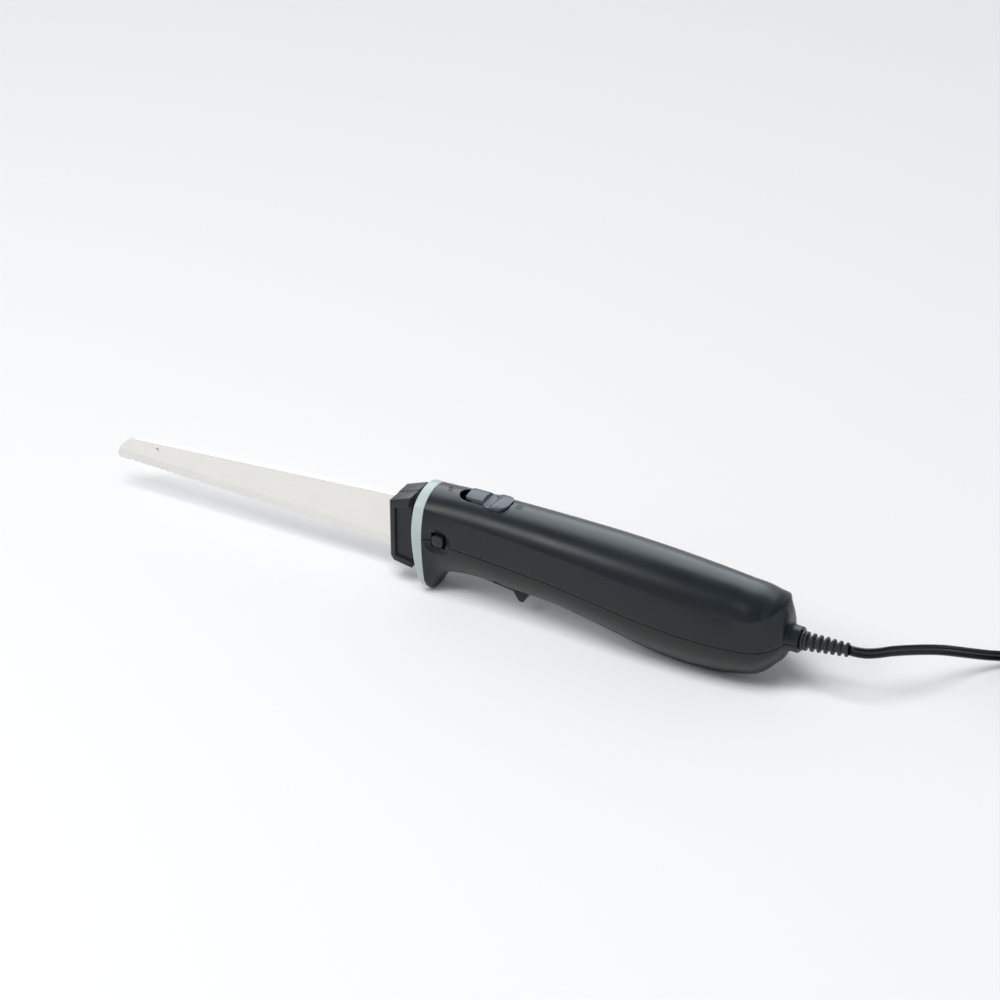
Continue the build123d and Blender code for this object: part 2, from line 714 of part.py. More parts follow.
def worm_shaft():
    centre = (0, 0, motor_axis_z)
    shaft = rod("X", centre, shaft_radius, shaft_front_x, shaft_rear_x)
    shaft += rod("X", centre, worm_root_radius, worm_front_x, worm_rear_x)
    for i in range(worm_starts):
        shaft += worm_thread(360 * i / worm_starts)
    return shaft


def ring_blocks(count, width, low_radius, high_radius, low_x, high_x):
    """Radial bars spaced evenly about the shaft."""
    bars = []
    for i in range(count):
        bar = block(low_x, high_x, -width / 2, width / 2, low_radius, high_radius)
        bars.append(Pos(0, 0, motor_axis_z) * Rot(360 * i / count, 0, 0) * bar)
    return bars


def armature_core():
    centre = (0, 0, motor_axis_z)
    body = rod("X", centre, core_radius, stator_front_x, stator_rear_x)
    for bar in ring_blocks(core_slots, core_slot_width, core_radius - core_slot_depth,
                           core_radius + overrun, 0, handle_length):
        body -= bar
    return body - rod("X", centre, shaft_radius, 0, handle_length)


def armature_windings():
    centre = (0, 0, motor_axis_z)
    front = rod("X", centre, winding_radius, stator_front_x - winding_length, stator_front_x - winding_gap)
    rear = rod("X", centre, winding_radius, stator_rear_x + winding_gap, stator_rear_x + winding_length)
    front = chamfer(front.edges().group_by(Axis.X)[0], winding_edge)
    rear = chamfer(rear.edges().group_by(Axis.X)[-1], winding_edge)
    body = front + rear
    for bar in ring_blocks(core_slots, core_slot_width - 2 * winding_gap,
                           core_radius - core_slot_depth + winding_gap, winding_radius,
                           stator_front_x - winding_edge, stator_rear_x + winding_edge):
        body += bar
    return body - rod("X", centre, shaft_radius, 0, handle_length)


def commutator():
    centre = (0, 0, motor_axis_z)
    body = rod("X", centre, commutator_radius, commutator_front_x, commutator_rear_x)
    for bar in ring_blocks(core_slots, commutator_slit, commutator_radius - commutator_slit_depth,
                           commutator_radius + overrun, 0, handle_length):
        body -= bar
    return body - rod("X", centre, shaft_radius, 0, handle_length)


def cooling_fan():
    centre = (0, 0, motor_axis_z)
    body = rod("X", centre, fan_hub_radius, fan_front_x, fan_rear_x)
    body += rod("X", centre, fan_radius, fan_rear_x - fan_disc, fan_rear_x)
    for bar in ring_blocks(fan_blades, fan_blade_thickness, fan_blade_start, fan_radius,
                           fan_front_x, fan_rear_x):
        body += bar
    return body - rod("X", centre, shaft_radius, 0, handle_length)


# Stator with its two field coils
pocket_depth = 2.8
pocket_low_turn = 16
pocket_high_turn = 38
coil_low_turn = 18
coil_overhang = 6.0
coil_clearance = 0.25


def motor_sector(inner_radius, outer_radius, low_turn, high_turn, low_x, high_x):
    """A curved bar about the shaft, between two angles measured from plus Y."""
    plane = Plane(origin=(low_x, 0, motor_axis_z), x_dir=(0, 1, 0), z_dir=(1, 0, 0))
    start, stop = math.radians(low_turn), math.radians(high_turn)
    half = (start + stop) / 2
    arcs = []
    for radius in (inner_radius, outer_radius):
        arcs.append(ThreePointArc(*[(radius * math.cos(t), radius * math.sin(t)) for t in (start, half, stop)]))
    ends = [Line(arcs[0] @ 0, arcs[1] @ 0), Line(arcs[0] @ 1, arcs[1] @ 1)]
    return extrude(plane * make_face(arcs + ends), high_x - low_x)


def stator_core():
    plane = Plane(origin=(stator_front_x, 0, motor_axis_z), x_dir=(0, 1, 0), z_dir=(1, 0, 0))
    bore_radius = core_radius + stator_bore_gap
    body = extrude(plane * stator_outline(0), stator_rear_x - stator_front_x)
    body -= rod("X", (0, 0, motor_axis_z), bore_radius, 0, handle_length)
    for low in (pocket_low_turn, 180 - pocket_high_turn, 180 + pocket_low_turn, 360 - pocket_high_turn):
        body -= motor_sector(bore_radius - coil_clearance, bore_radius + pocket_depth, low,
                             low + pocket_high_turn - pocket_low_turn, stator_front_x - overrun,
                             stator_rear_x + overrun)
    return body


def field_coil(turned):
    """One saddle of wire about a pole of the stator."""
    inner = core_radius + stator_bore_gap + coil_clearance
    outer = core_radius + stator_bore_gap + pocket_depth - coil_clearance
    low_x = stator_front_x - coil_overhang
    high_x = stator_rear_x + coil_overhang
    side_turn = pocket_high_turn - 2
    body = motor_sector(inner, outer, coil_low_turn, 180 - coil_low_turn, low_x, high_x)
    body -= motor_sector(inner - overrun, outer + overrun, side_turn, 180 - side_turn,
                         stator_front_x - coil_clearance, stator_rear_x + coil_clearance)
    middle = Pos(0, 0, motor_axis_z) * Rot(turned, 0, 0) * Pos(0, 0, -motor_axis_z)
    return middle * body


# Rear bracket with the bush, brushes and their springs
bracket_front_x = along(0.8276)
bracket_rear_x = along(0.8405)
bracket_half = 17.0
bracket_corner = 8.0
bracket_leg = 13.5
bracket_leg_radius = 1.6
rear_bush_length = 6.0
rear_bush_radius = 4.6
rear_bush_x = bracket_front_x - 1.0
brush_holder_front_x = along(0.7608)
brush_holder_inner_y = 9.4
brush_holder_outer_y = 19.2
brush_holder_half = 4.4
brush_half = 3.0
brush_length = 6.5
brush_gap = 0.12


def bearing_bracket():
    plane = Plane(origin=(bracket_front_x, 0, motor_axis_z), x_dir=(0, 1, 0), z_dir=(1, 0, 0))
    outline = plane * RectangleRounded(2 * bracket_half, 2 * bracket_half, bracket_corner)
    body = extrude(outline, bracket_rear_x - bracket_front_x)
    for y in (-bracket_leg, bracket_leg):
        for z in (-bracket_leg, bracket_leg):
            body += rod("X", (0, y, motor_axis_z + z), bracket_leg_radius, stator_rear_x, bracket_front_x)
    return body - rod("X", (0, 0, motor_axis_z), rear_bush_radius, 0, handle_length)


def brush_spot():
    return (brush_holder_front_x + brush_holder_half, motor_axis_z)


def brush_holder():
    """The near brass box that guides a brush, standing on the bracket."""
    x, z = brush_spot()
    body = block(brush_holder_front_x, bracket_front_x, -brush_holder_outer_y, -brush_holder_inner_y,
                 z - brush_holder_half, z + brush_holder_half)
    reach = brush_half + brush_gap
    return body - block(x - reach, x + reach, -half_body, 0, z - reach, z + reach)


def carbon_brush():
    x, z = brush_spot()
    front_y = -commutator_radius - brush_gap
    return block(x - brush_half, x + brush_half, front_y - brush_length, front_y, z - brush_half, z + brush_half)


def brush_spring():
    x, z = brush_spot()
    inner_y = commutator_radius + brush_gap + brush_length + 2 * button_spring_wire
    coil = coil_spring(button_spring_wire, brush_half - 2 * button_spring_wire,
                       brush_holder_outer_y - inner_y - button_spring_wire, 2)
    return Pos(x, -brush_holder_outer_y + button_spring_wire, z) * Rot(-90, 0, 0) * coil


# Switch, trigger and their small parts
switch_front_x = along(0.1336)
switch_rear_x = along(0.2155)
switch_half_width = 5.5
switch_low_z = 22.6
plunger_x = along(0.1810)
plunger_radius = 1.5
plunger_inside = 2.2
switch_tag = 1.0
switch_tag_height = 2.6
trigger_pin_x = along(0.1164)
trigger_pin_z = 21.0
trigger_pin_radius = 1.2
trigger_eye_radius = 2.3
trigger_turn = 5.0
trigger_heel_z = 17.4
trigger_tip_x = along(0.2586)
trigger_tip_z = 7.8
trigger_knee = (along(0.2349), 13.6)
trigger_lip = (along(0.2698), 12.8)
trigger_top_z = 19.8
trigger_edge = 1.0
trigger_stop_rear_x = along(0.2888)
trigger_stop_low_z = 18.4
trigger_stop_half_width = 3.0
trigger_spring_x = along(0.2414)
trigger_spring_radius = 2.3
lug_width = 2.0
lug_half_length = 2.6
lug_top_z = 23.6
lug_low_z = 18.0


def switch_body():
    top_z = guide_low_z - seat_gap
    body = block(switch_front_x, switch_rear_x, -switch_half_width, switch_half_width, switch_low_z, top_z)
    body = chamfer(body.edges().filter_by(Axis.Y), switch_tag)
    travel = (plunger_x - trigger_pin_x) * math.radians(trigger_turn)
    body -= rod("Z", (plunger_x, 0, 0), plunger_radius + seat_gap, switch_low_z - overrun,
                switch_low_z + plunger_inside + travel + seat_gap)
    for y in (-switch_half_width / 2, switch_half_width / 2):
        body += block(switch_rear_x, switch_rear_x + switch_tag_height, y - switch_tag / 2, y + switch_tag / 2,
                      top_z - 2 * switch_tag_height, top_z - switch_tag_height)
    return body


def switch_plunger():
    body = rod("Z", (plunger_x, 0, 0), plunger_radius, trigger_top_z + seat_gap, switch_low_z + plunger_inside)
    return chamfer(body.edges().group_by(Axis.Z)[0], seat_gap)


def trigger():
    half = trigger_width / 2
    outline = ((trigger_pin_x - trigger_eye_radius, trigger_heel_z), trigger_lip,
               (trigger_lip[0], trigger_top_z), (trigger_pin_x, trigger_top_z),
               (trigger_pin_x - trigger_eye_radius, trigger_pin_z))
    body = side_prism(outline, -half, half)
    low = body.edges().filter_by(lambda e: e.center().Z < trigger_pin_z - trigger_eye_radius / 2)
    low = low.filter_by(lambda e: abs(e.center().Y) > half / 2)
    low = low.filter_by(lambda e: e.length > trigger_eye_radius)
    body = chamfer(low, trigger_edge)
    hook = (trigger_knee, (trigger_tip_x, trigger_tip_z), trigger_lip, (trigger_lip[0], trigger_heel_z),
            (trigger_knee[0], trigger_heel_z))
    body += side_prism(hook, trigger_edge - half, half - trigger_edge)
    body += rod("Y", (trigger_pin_x, 0, trigger_pin_z), trigger_eye_radius, -half, half)
    body += block(trigger_lip[0] - overrun, trigger_stop_rear_x, -trigger_stop_half_width,
                  trigger_stop_half_width, trigger_stop_low_z, trigger_top_z)
    return body - rod("Y", (trigger_pin_x, 0, trigger_pin_z), trigger_pin_radius + running_fit, -half_body, half_body)


def trigger_lugs():
    """Ears of the lower shell that hold the trigger's pin."""
    inner_y = trigger_width / 2 + trigger_side_gap
    ear = block(trigger_pin_x - lug_half_length, trigger_pin_x + lug_half_length, inner_y, inner_y + lug_width,
                lug_low_z, lug_top_z) & outer_form
    hole = rod("Y", (trigger_pin_x, 0, trigger_pin_z), trigger_pin_radius, -half_body, half_body)
    return ear + mirrored(ear), hole


def trigger_pin():
    reach = trigger_width / 2 + trigger_side_gap + lug_width - seat_gap
    return rod("Y", (trigger_pin_x, 0, trigger_pin_z), trigger_pin_radius, -reach, reach)


def trigger_spring():
    low_z = trigger_top_z + button_spring_wire + seat_gap / 2
    high_z = frame_low_z - button_spring_wire - seat_gap / 2
    coil = coil_spring(button_spring_wire, trigger_spring_radius, high_z - low_z, 3)
    return Pos(trigger_spring_x, 0, low_z) * coil


# Slide lock on top, which follows the crown of the shell
lock_corner = 5.6
lock_pad_length = 16.6
lock_block_width = 11.4
lock_block_corner = 1.2
lock_neck_width = slot_width - 1.0
lock_neck_front_x = along(0.1009)
lock_neck_rear_x = along(0.1793)
lock_plate_inset = 1.5
lock_plate_rear_x = along(0.1983)
lock_plate_half_width = 7.4
lock_plate_low_z = 63.6
lock_plate_top_z = 65.4
lock_dimple_radius = 9.0
lock_dimple_depth = 1.5
lock_dimple_x = along(0.1660)
lock_dimple_y = 0.0


def lock_surface(inset):
    """The handle's outer form, drawn larger by the slide's height or its play."""
    return handle_form(inset, inset, grip_station_shares)


def lock_slider():
    pad_x = lock_front_x + lock_length - lock_pad_length / 2
    block_length = lock_length - lock_pad_length / 2
    outline = Pos(pad_x, 0) * RectangleRounded(lock_pad_length, lock_width, lock_corner)
    outline += Pos(lock_front_x + block_length / 2, 0) * RectangleRounded(
        block_length, lock_block_width, lock_block_corner)
    pad = Pos(0, 0, lock_plate_top_z) * extrude(outline, body_height / 4)
    pad = (pad & lock_surface(-lock_rise)) - lock_surface(-slide_gap)
    top_z = body_height * grip_station_shares[1][1] + lock_rise
    pad -= Pos(lock_dimple_x, lock_dimple_y, top_z + lock_dimple_radius - lock_dimple_depth) * Sphere(
        lock_dimple_radius)
    neck_length = lock_neck_rear_x - lock_neck_front_x
    neck = Pos(lock_neck_front_x + neck_length / 2, 0, lock_plate_low_z) * extrude(
        SlotOverall(neck_length, lock_neck_width), top_z - lock_plate_low_z)
    neck = neck & lock_surface(-slide_gap - seat_gap)
    plate = block(lock_front_x + lock_plate_inset, lock_plate_rear_x, -lock_plate_half_width,
                  lock_plate_half_width, lock_plate_low_z, lock_plate_top_z)
    return pad + neck + plate


# Screws of the shells, and the clamp on the cord inside
clamp_x = along(0.9397)
clamp_length = 4.0
clamp_post_y = 6.6
clamp_post_radius = 2.4
clamp_bar_half = 9.0
clamp_bar_height = 2.4
cord_width = 6.6
cord_thickness = 3.3
clamp_screw_radius = 1.2
clamp_screw_grip = 6.0
clamp_head_radius = 2.2


def housing_screws():
    screws = []
    for x, y in screw_places:
        z = seam_z_at(x)
        seat = z - screw_seat_depth
        head = rod("Z", (x, y, 0), screw_head_radius, seat - screw_head_height, seat)
        screws.append(head + rod("Z", (x, y, 0), screw_shank_radius, seat, z + screw_grip))
    return screws


def clamp_posts():
    """Rib and two posts of the lower shell under the cord."""
    low_z = boss_z - cord_width / 2
    rib = block(clamp_x, clamp_x + clamp_length, -half_body, half_body, -overrun, low_z) & inner_form
    for y in (-clamp_post_y, clamp_post_y):
        rib += rod("Z", (clamp_x + clamp_length / 2, y, 0), clamp_post_radius, low_z - clamp_post_radius,
                   boss_z + cord_width / 2 - seat_gap)
    holes = []
    for y in (-clamp_post_y, clamp_post_y):
        holes.append(rod("Z", (clamp_x + clamp_length / 2, y, 0), clamp_screw_radius,
                         boss_z + cord_width / 2 - clamp_screw_grip, body_height))
    return rib, holes


def cord_clamp():
    low_z = boss_z + cord_width / 2
    bar = block(clamp_x, clamp_x + clamp_length, -clamp_bar_half, clamp_bar_half, low_z, low_z + clamp_bar_height)
    for y in (-clamp_post_y, clamp_post_y):
        bar -= rod("Z", (clamp_x + clamp_length / 2, y, 0), clamp_screw_radius, 0, body_height)
    return bar


def clamp_screws():
    screws = []
    low_z = boss_z + cord_width / 2
    for y in (-clamp_post_y, clamp_post_y):
        centre = (clamp_x + clamp_length / 2, y, 0)
        shank = rod("Z", centre, clamp_screw_radius, low_z - clamp_screw_grip, low_z + clamp_bar_height)
        head = rod("Z", centre, clamp_head_radius, low_z + clamp_bar_height,
                   low_z + clamp_bar_height + screw_head_height)
        screws.append(shank + head)
    return screws


# Strain relief: a flange inside the boss, a neck, and a ribbed tail
relief_flange_radius = 6.6
relief_flange_length = 2.6
relief_tail_length = 29.0
relief_root_height = 12.4
relief_root_width = 10.6
relief_end_height = 9.2
relief_end_width = 6.2
relief_core_share = 0.74
relief_end_rise = 2.6
relief_ribs = 7
relief_rib_share = 0.52
tail_corner_share = 0.55


def tail_oval(x, shrink):
    """Cross section of the tail at a place along it."""
    share = (x - handle_length) / relief_tail_length
    width = relief_root_width + (relief_end_width - relief_root_width) * share
    height = relief_root_height + (relief_end_height - relief_root_height) * share
    y, z = width * shrink / 2, height * shrink / 2
    cut = y * tail_corner_share
    quarter = [(y, -z + cut), (y, z - cut), (y - cut, z), (cut - y, z)]
    points = quarter + [(-a, -b) for a, b in quarter]
    plane = Plane(origin=(x, 0, boss_z + relief_end_rise * share), x_dir=(0, 1, 0), z_dir=(1, 0, 0))
    return plane * make_face(Polyline(*points, close=True))


def strain_relief():
    flange_x = boss_root_x - relief_flange_length
    body = rod("X", (0, 0, boss_z), relief_flange_radius, flange_x, boss_root_x)
    body += rod("X", (0, 0, boss_z), relief_neck_radius, flange_x, handle_length)
    tail_end = handle_length + relief_tail_length
    ends = [tail_oval(handle_length, relief_core_share), tail_oval(tail_end, relief_core_share)]
    body += loft(Sketch() + ends, ruled=True)
    pitch = relief_tail_length / relief_ribs
    for i in range(relief_ribs):
        x = handle_length + pitch * (i + 1) - pitch * relief_rib_share
        body += extrude(tail_oval(x, 1), pitch * relief_rib_share)
    body += extrude(tail_oval(handle_length, 1), pitch * relief_rib_share)
    return body


def inner_cord():
    """The end of the cord inside the handle, up to the clamp."""
    plane = Plane(origin=(clamp_x - overrun / 2, 0, boss_z), x_dir=(0, 1, 0), z_dir=(1, 0, 0))
    length = boss_root_x - relief_flange_length - clamp_x + overrun / 2
    return extrude(plane * SlotOverall(cord_width, cord_thickness, rotation=90), length)


# Free cord: route points chosen by hand, in millimetres
cord_route = (
    (272.0, 0.0, 38.6), (279.5, 0.0, 38.6), (287.6, 4.4, 38.9), (294.0, 13.0, 37.6),
    (310.5, 37.0, 29.6), (320.5, 57.0, 18.4), (335.5, 77.0, 8.2), (351.0, 94.0, 4.7),
    (366.5, 109.0, 4.5), (380.0, 114.0, 4.5), (391.4, 114.0, 4.5),
)
coil_start = (398.0, 114.0)
cord_low_z = 4.5
coil_layer_rise = 7.1
edge_share = 0.3
nose_share = 0.4
coil_radii = (42.8, 40.2, 37.6, 35.0, 32.4, 29.8, 27.8, 29.75, 32.75, 35.0, 37.6, 40.2)
climbing_half_turn = 6
coil_tail = 50.0


def cord_section(origin, direction):
    """The flat cord on its edge, with its rounded edges drawn as flats."""
    heading = Vector(*direction)
    plane = Plane(origin=origin, x_dir=Vector(0, 0, 1).cross(heading), z_dir=heading)
    y, z = cord_thickness / 2, cord_width / 2
    side, nose = z - cord_thickness * edge_share, y * nose_share
    half = [(y, -side), (y, side), (nose, z)]
    points = half + [(-a, b) for a, b in reversed(half)] + [(-nose, -z), (nose, -z)]
    return plane * make_face(Polyline(*points, close=True))


def upright_sweep(section, path):
    """A sweep that keeps the flat cord standing on its edge."""
    spine = Wire(path.edges())
    guide = Wire([edge.moved(Location((0, 0, body_height))) for edge in path.edges()])
    return sweep(section, path=spine, binormal=guide), spine


def route_radii(points):
    radii = []
    for a, b, c in zip(points, points[1:], points[2:]):
        first, second = b - a, c - b
        turn = first.get_angle(second)
        shorter = min(first.length, second.length)
        radii.append(0.45 * shorter / math.tan(math.radians(turn) / 2))
    return radii


def mains_cord():
    points = [Vector(*p) for p in cord_route]
    radii = route_radii(points)
    path = FilletPolyline(*points, radius=radii)
    solid, spine = upright_sweep(cord_section(points[0], points[1] - points[0]), path)
    print("cord radii", [round(r, 1) for r in radii])
    area = (cord_width - cord_thickness) * cord_thickness + math.pi * cord_thickness ** 2 / 4
    print("cord length", round(spine.length, 1), "volume share", round(solid.volume / (area * spine.length), 3))
    return solid


def coil_edges():
    """Half turns that spiral in, climb a layer and spiral out again."""
    x, y = coil_start
    z = cord_low_z
    edges = [Line((x - cord_width, y, z), (x, y, z)).edge()]
    side = -1
    for i, radius in enumerate(coil_radii):
        rise = coil_layer_rise if i == climbing_half_turn else 0
        end = Vector(x, y + side * 2 * radius, z + rise)
        reach = math.sqrt(radius ** 2 + (rise / 2) ** 2)
        middle = Vector(x - side * reach, y + side * radius, z + rise / 2)
        edges.append(TangentArc(Vector(x, y, z), middle, tangent=(-side, 0, 0)).edge())
        edges.append(TangentArc(middle, end, tangent=edges[-1] % 1).edge())
        y, z = end.Y, end.Z
        side = -side
    edges.append(Line((x, y, z), (x + coil_tail, y, z)).edge())
    return edges


def cord_coil():
    edges = coil_edges()
    start = edges[0] @ 0
    solid, spine = upright_sweep(cord_section(start, (1, 0, 0)), Curve() + edges)
    print("coil length", round(spine.length, 1), "coil gap", round(coil_gap(edges), 2))
    return solid, edges[-1] @ 1


def coil_gap(edges):
    """Least clear distance between two turns, measured on points along the route."""
    steps = 24
    marks = []
    along = 0
    for edge in edges:
        for i in range(steps):
            marks.append((along + edge.length * i / steps, edge @ (i / steps)))
        along += edge.length
    least = coil_radii[0]
    for i, (s, p) in enumerate(marks):
        for t, q in marks[i + 1:]:
            if t - s < 3 * coil_radii[0]:
                continue
            flat = math.hypot(p.X - q.X, p.Y - q.Y) - cord_thickness
            tall = abs(p.Z - q.Z) - cord_width
            least = min(least, max(flat, tall))
    return least


# Tie round the coil, and the plug at the cord's end
tie_wall = 0.9
tie_width = 8.0
tie_corner = 1.3
tie_shift = 1.3
plug_length = 30.0
plug_thickness = 14.0
plug_corner = 4.0
plug_neck_length = 8.0
prong_spacing = 12.7
prong_width = 6.3
prong_thickness = 1.5
prong_length = 16.0


def coil_tie():
    """A flat band round the whole bundle, on the side nearest the handle."""
    low_x = coil_start[0] - max(coil_radii[1::2]) - cord_thickness / 2 - seat_gap
    high_x = coil_start[0] - min(coil_radii[1::2]) + cord_thickness / 2 + 3 * seat_gap
    low_z = cord_low_z - cord_width / 2 - seat_gap
    high_z = cord_low_z + coil_layer_rise + cord_width / 2 + seat_gap
    y = coil_start[1] - 2 * sum(coil_radii[0:5:2]) + 2 * sum(coil_radii[1:5:2]) + coil_radii[5] + tie_shift
    plane = Plane(origin=((low_x + high_x) / 2, y - tie_width / 2, (low_z + high_z) / 2), x_dir=(1, 0, 0),
                  z_dir=(0, 1, 0))
    band = RectangleRounded(high_x - low_x + 2 * tie_wall, high_z - low_z + 2 * tie_wall, tie_corner)
    band -= RectangleRounded(high_x - low_x, high_z - low_z, tie_corner - tie_wall)
    return extrude(plane * band, tie_width)


def plug_body(end):
    """Moulded plug standing on its edge at the end of the coil."""
    half = end.Z
    body = block(end.X + plug_neck_length, end.X + plug_neck_length + plug_length, end.Y - plug_thickness / 2,
                 end.Y + plug_thickness / 2, 0, 2 * half)
    body = fillet(body.edges().filter_by(Axis.X), plug_corner)
    neck = Plane(origin=end, x_dir=(0, 1, 0), z_dir=(1, 0, 0))
    small = neck * RectangleRounded(plug_thickness / 2, half, plug_thickness / 4 - seat_gap)
    large = neck.offset(plug_neck_length) * RectangleRounded(plug_thickness - seat_gap, 2 * half - seat_gap, plug_corner)
    return body + loft(Sketch() + [small, large])


def plug_prongs(end):
    front_x = end.X + plug_neck_length + plug_length
    prongs = []
    for z in (end.Z - prong_spacing / 2, end.Z + prong_spacing / 2):
        prongs.append(block(front_x, front_x + prong_length, end.Y - prong_width / 2, end.Y + prong_width / 2,
                            z - prong_thickness / 2, z + prong_thickness / 2))
    return prongs


def save(name, shapes):
    """Write one piece, or a group of like pieces, moved to the shared origin."""
    group = shapes if isinstance(shapes, list) else [shapes]
    solids = []
    for shape in group:
        solids += [Pos(shift_x, 0, 0) * solid for solid in shape.solids()]
    export_step(solids[0] if len(solids) == 1 else Compound(solids), "parts/" + name + ".step")


os.makedirs("parts", exist_ok=True)
lug_ears, lug_hole = trigger_lugs()
clamp_rib, clamp_holes = clamp_posts()
lower_housing = lower_housing + lug_ears - lug_hole + clamp_rib
for hole in clamp_holes:
    lower_housing -= hole
near_blade = blade(-1)
far_blade = blade(1)
near_guard = guard_half() - near_blade
far_guard = mirrored(guard_half()) - far_blade
coil_solid, coil_end = cord_coil()

save("upper_housing", upper_housing)
save("lower_housing", lower_housing)
save("front_collar", front_collar())
save("near_blade", near_blade)
save("far_blade", far_blade)
save("tip_rivet", tip_rivet())
save("near_guard", near_guard)
save("far_guard", far_guard)
save("near_blade_holder", blade_holder())
save("far_blade_holder", mirrored(blade_holder()))
save("near_latch_spring", latch_spring())
save("far_latch_spring", mirrored(latch_spring()))
save("blade_guide", blade_guide())
save("near_release_button", release_button())
save("far_release_button", mirrored(release_button()))
save("near_button_spring", button_spring())
save("far_button_spring", mirrored(button_spring()))
save("drive_gear", drive_gear())
save("gear_axle", gear_axle())
save("gear_frame", gear_frame())
save("front_bush", bush(frame_front_x, bush_length, bush_outer_radius))
save("worm_shaft", worm_shaft())
save("armature_core", armature_core())
save("armature_windings", armature_windings())
save("commutator", commutator())
save("cooling_fan", cooling_fan())
save("stator_core", stator_core())
save("field_coils", [field_coil(0), field_coil(180)])
save("bearing_bracket", bearing_bracket())
save("rear_bush", bush(rear_bush_x, rear_bush_length, rear_bush_radius))
save("brush_holders", [brush_holder(), mirrored(brush_holder())])
save("carbon_brushes", [carbon_brush(), mirrored(carbon_brush())])
save("brush_springs", [brush_spring(), mirrored(brush_spring())])
save("switch_body", switch_body())
save("switch_plunger", switch_plunger())
save("trigger", trigger())
save("trigger_pin", trigger_pin())
save("trigger_spring", trigger_spring())
save("lock_slider", lock_slider())
save("housing_screws", housing_screws())
save("cord_clamp", cord_clamp())
save("clamp_screws", clamp_screws())
save("inner_cord", inner_cord())
save("strain_relief", strain_relief())
save("mains_cord", mains_cord())
save("cord_coil", coil_solid)
save("coil_tie", coil_tie())
save("plug_body", plug_body(coil_end))
save("plug_prongs", plug_prongs(coil_end))
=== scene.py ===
import math

import bmesh
import bpy
from mathutils import Matrix, Vector


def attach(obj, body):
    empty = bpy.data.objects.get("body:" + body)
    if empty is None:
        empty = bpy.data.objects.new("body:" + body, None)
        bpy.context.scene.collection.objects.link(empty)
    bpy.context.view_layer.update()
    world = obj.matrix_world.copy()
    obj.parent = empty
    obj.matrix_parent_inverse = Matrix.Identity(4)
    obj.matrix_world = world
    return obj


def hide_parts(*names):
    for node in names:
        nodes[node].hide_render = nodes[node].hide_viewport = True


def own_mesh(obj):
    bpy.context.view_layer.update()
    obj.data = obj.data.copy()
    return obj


# Electric carving knife: two blades that slide to and fro, worked by a motor in a handle of two
# shells, on a pale floor. The CAD model gives the frame and each piece that isn't made here.
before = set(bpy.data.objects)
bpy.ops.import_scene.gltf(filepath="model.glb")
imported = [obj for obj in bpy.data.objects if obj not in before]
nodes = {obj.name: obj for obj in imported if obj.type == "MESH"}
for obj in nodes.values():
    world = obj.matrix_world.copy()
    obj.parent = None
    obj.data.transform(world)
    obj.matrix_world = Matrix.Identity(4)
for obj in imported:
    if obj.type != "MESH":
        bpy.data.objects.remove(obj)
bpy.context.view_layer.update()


# Handle: two shells of ABS, upper and lower, injection moulded with a very fine grain. They
# are 2.2 mm thick and are screwed together from below. Each cross section has a crown, two
# bowed sides that meet it at a crease, and a rounded underside.
mm = 0.001
drawing_shift = -8.5 * mm


def at(x, y, z):
    """A point of the drawing, in millimetres, as a point of the frame, in metres."""
    return Vector((x * mm + drawing_shift, y * mm, z * mm))


def linear(code):
    """An sRGB hex colour as the linear colour that the shaders read."""
    channels = [int(code[i:i + 2], 16) / 255 for i in (1, 3, 5)]
    return [c / 12.92 if c <= 0.04045 else ((c + 0.055) / 1.055) ** 2.4
            for c in channels] + [1.0]


def add_node(tree, kind, inputs=None, **settings):
    """One shader node with its settings, and its inputs given as values or as other sockets."""
    new = tree.nodes.new("ShaderNode" + kind)
    for name, value in settings.items():
        setattr(new, name, value)
    for name, value in (inputs or {}).items():
        if isinstance(value, bpy.types.NodeSocket):
            tree.links.new(value, new.inputs[name])
        else:
            new.inputs[name].default_value = value
    return new


def new_material(name):
    """A material with an empty node tree."""
    material = bpy.data.materials.new(name)
    material.use_nodes = True
    material.node_tree.nodes.clear()
    return material


def moulded_plastic(name, colour, roughness, grain, depth):
    """Moulded plastic. The grain of its mould is a bump, given by its spacing and its height,
    and its shine and shade drift a little over 30 mm, as handling and cooling leave them."""
    cloud_size = 30 * mm
    shine_drift = 0.04
    material = new_material(name)
    tree = material.node_tree
    place = add_node(tree, "TexCoord").outputs["Object"]
    grains = add_node(tree, "TexNoise", {"Vector": place, "Scale": 1 / grain, "Detail": 3.0})
    cloud = add_node(tree, "TexNoise", {"Vector": place, "Scale": 1 / cloud_size, "Detail": 3.0})
    drift = {"Value": cloud.outputs["Fac"], "From Min": 0.3, "From Max": 0.7}
    shine = add_node(tree, "MapRange", {**drift, "To Min": roughness - shine_drift,
                                        "To Max": roughness + shine_drift})
    shade = add_node(tree, "MapRange", {**drift, "To Min": 0.94, "To Max": 1.06})
    tint = add_node(tree, "HueSaturation", {"Value": shade.outputs["Result"],
                                            "Color": linear(colour)})
    bump = add_node(tree, "Bump", {"Height": grains.outputs["Fac"], "Distance": depth,
                                   "Strength": 1.0})
    shader = add_node(tree, "BsdfPrincipled", {
        "Base Color": tint.outputs["Color"], "Roughness": shine.outputs["Result"],
        "Normal": bump.outputs["Normal"], "IOR": 1.42})
    add_node(tree, "OutputMaterial", {"Surface": shader.outputs["BSDF"]})
    return material


def settle(piece):
    """Turns a piece's modifiers into its mesh."""
    bpy.context.view_layer.update()
    graph = bpy.context.evaluated_depsgraph_get()
    done = bpy.data.meshes.new_from_object(piece.evaluated_get(graph))
    piece.modifiers.clear()
    piece.data = done


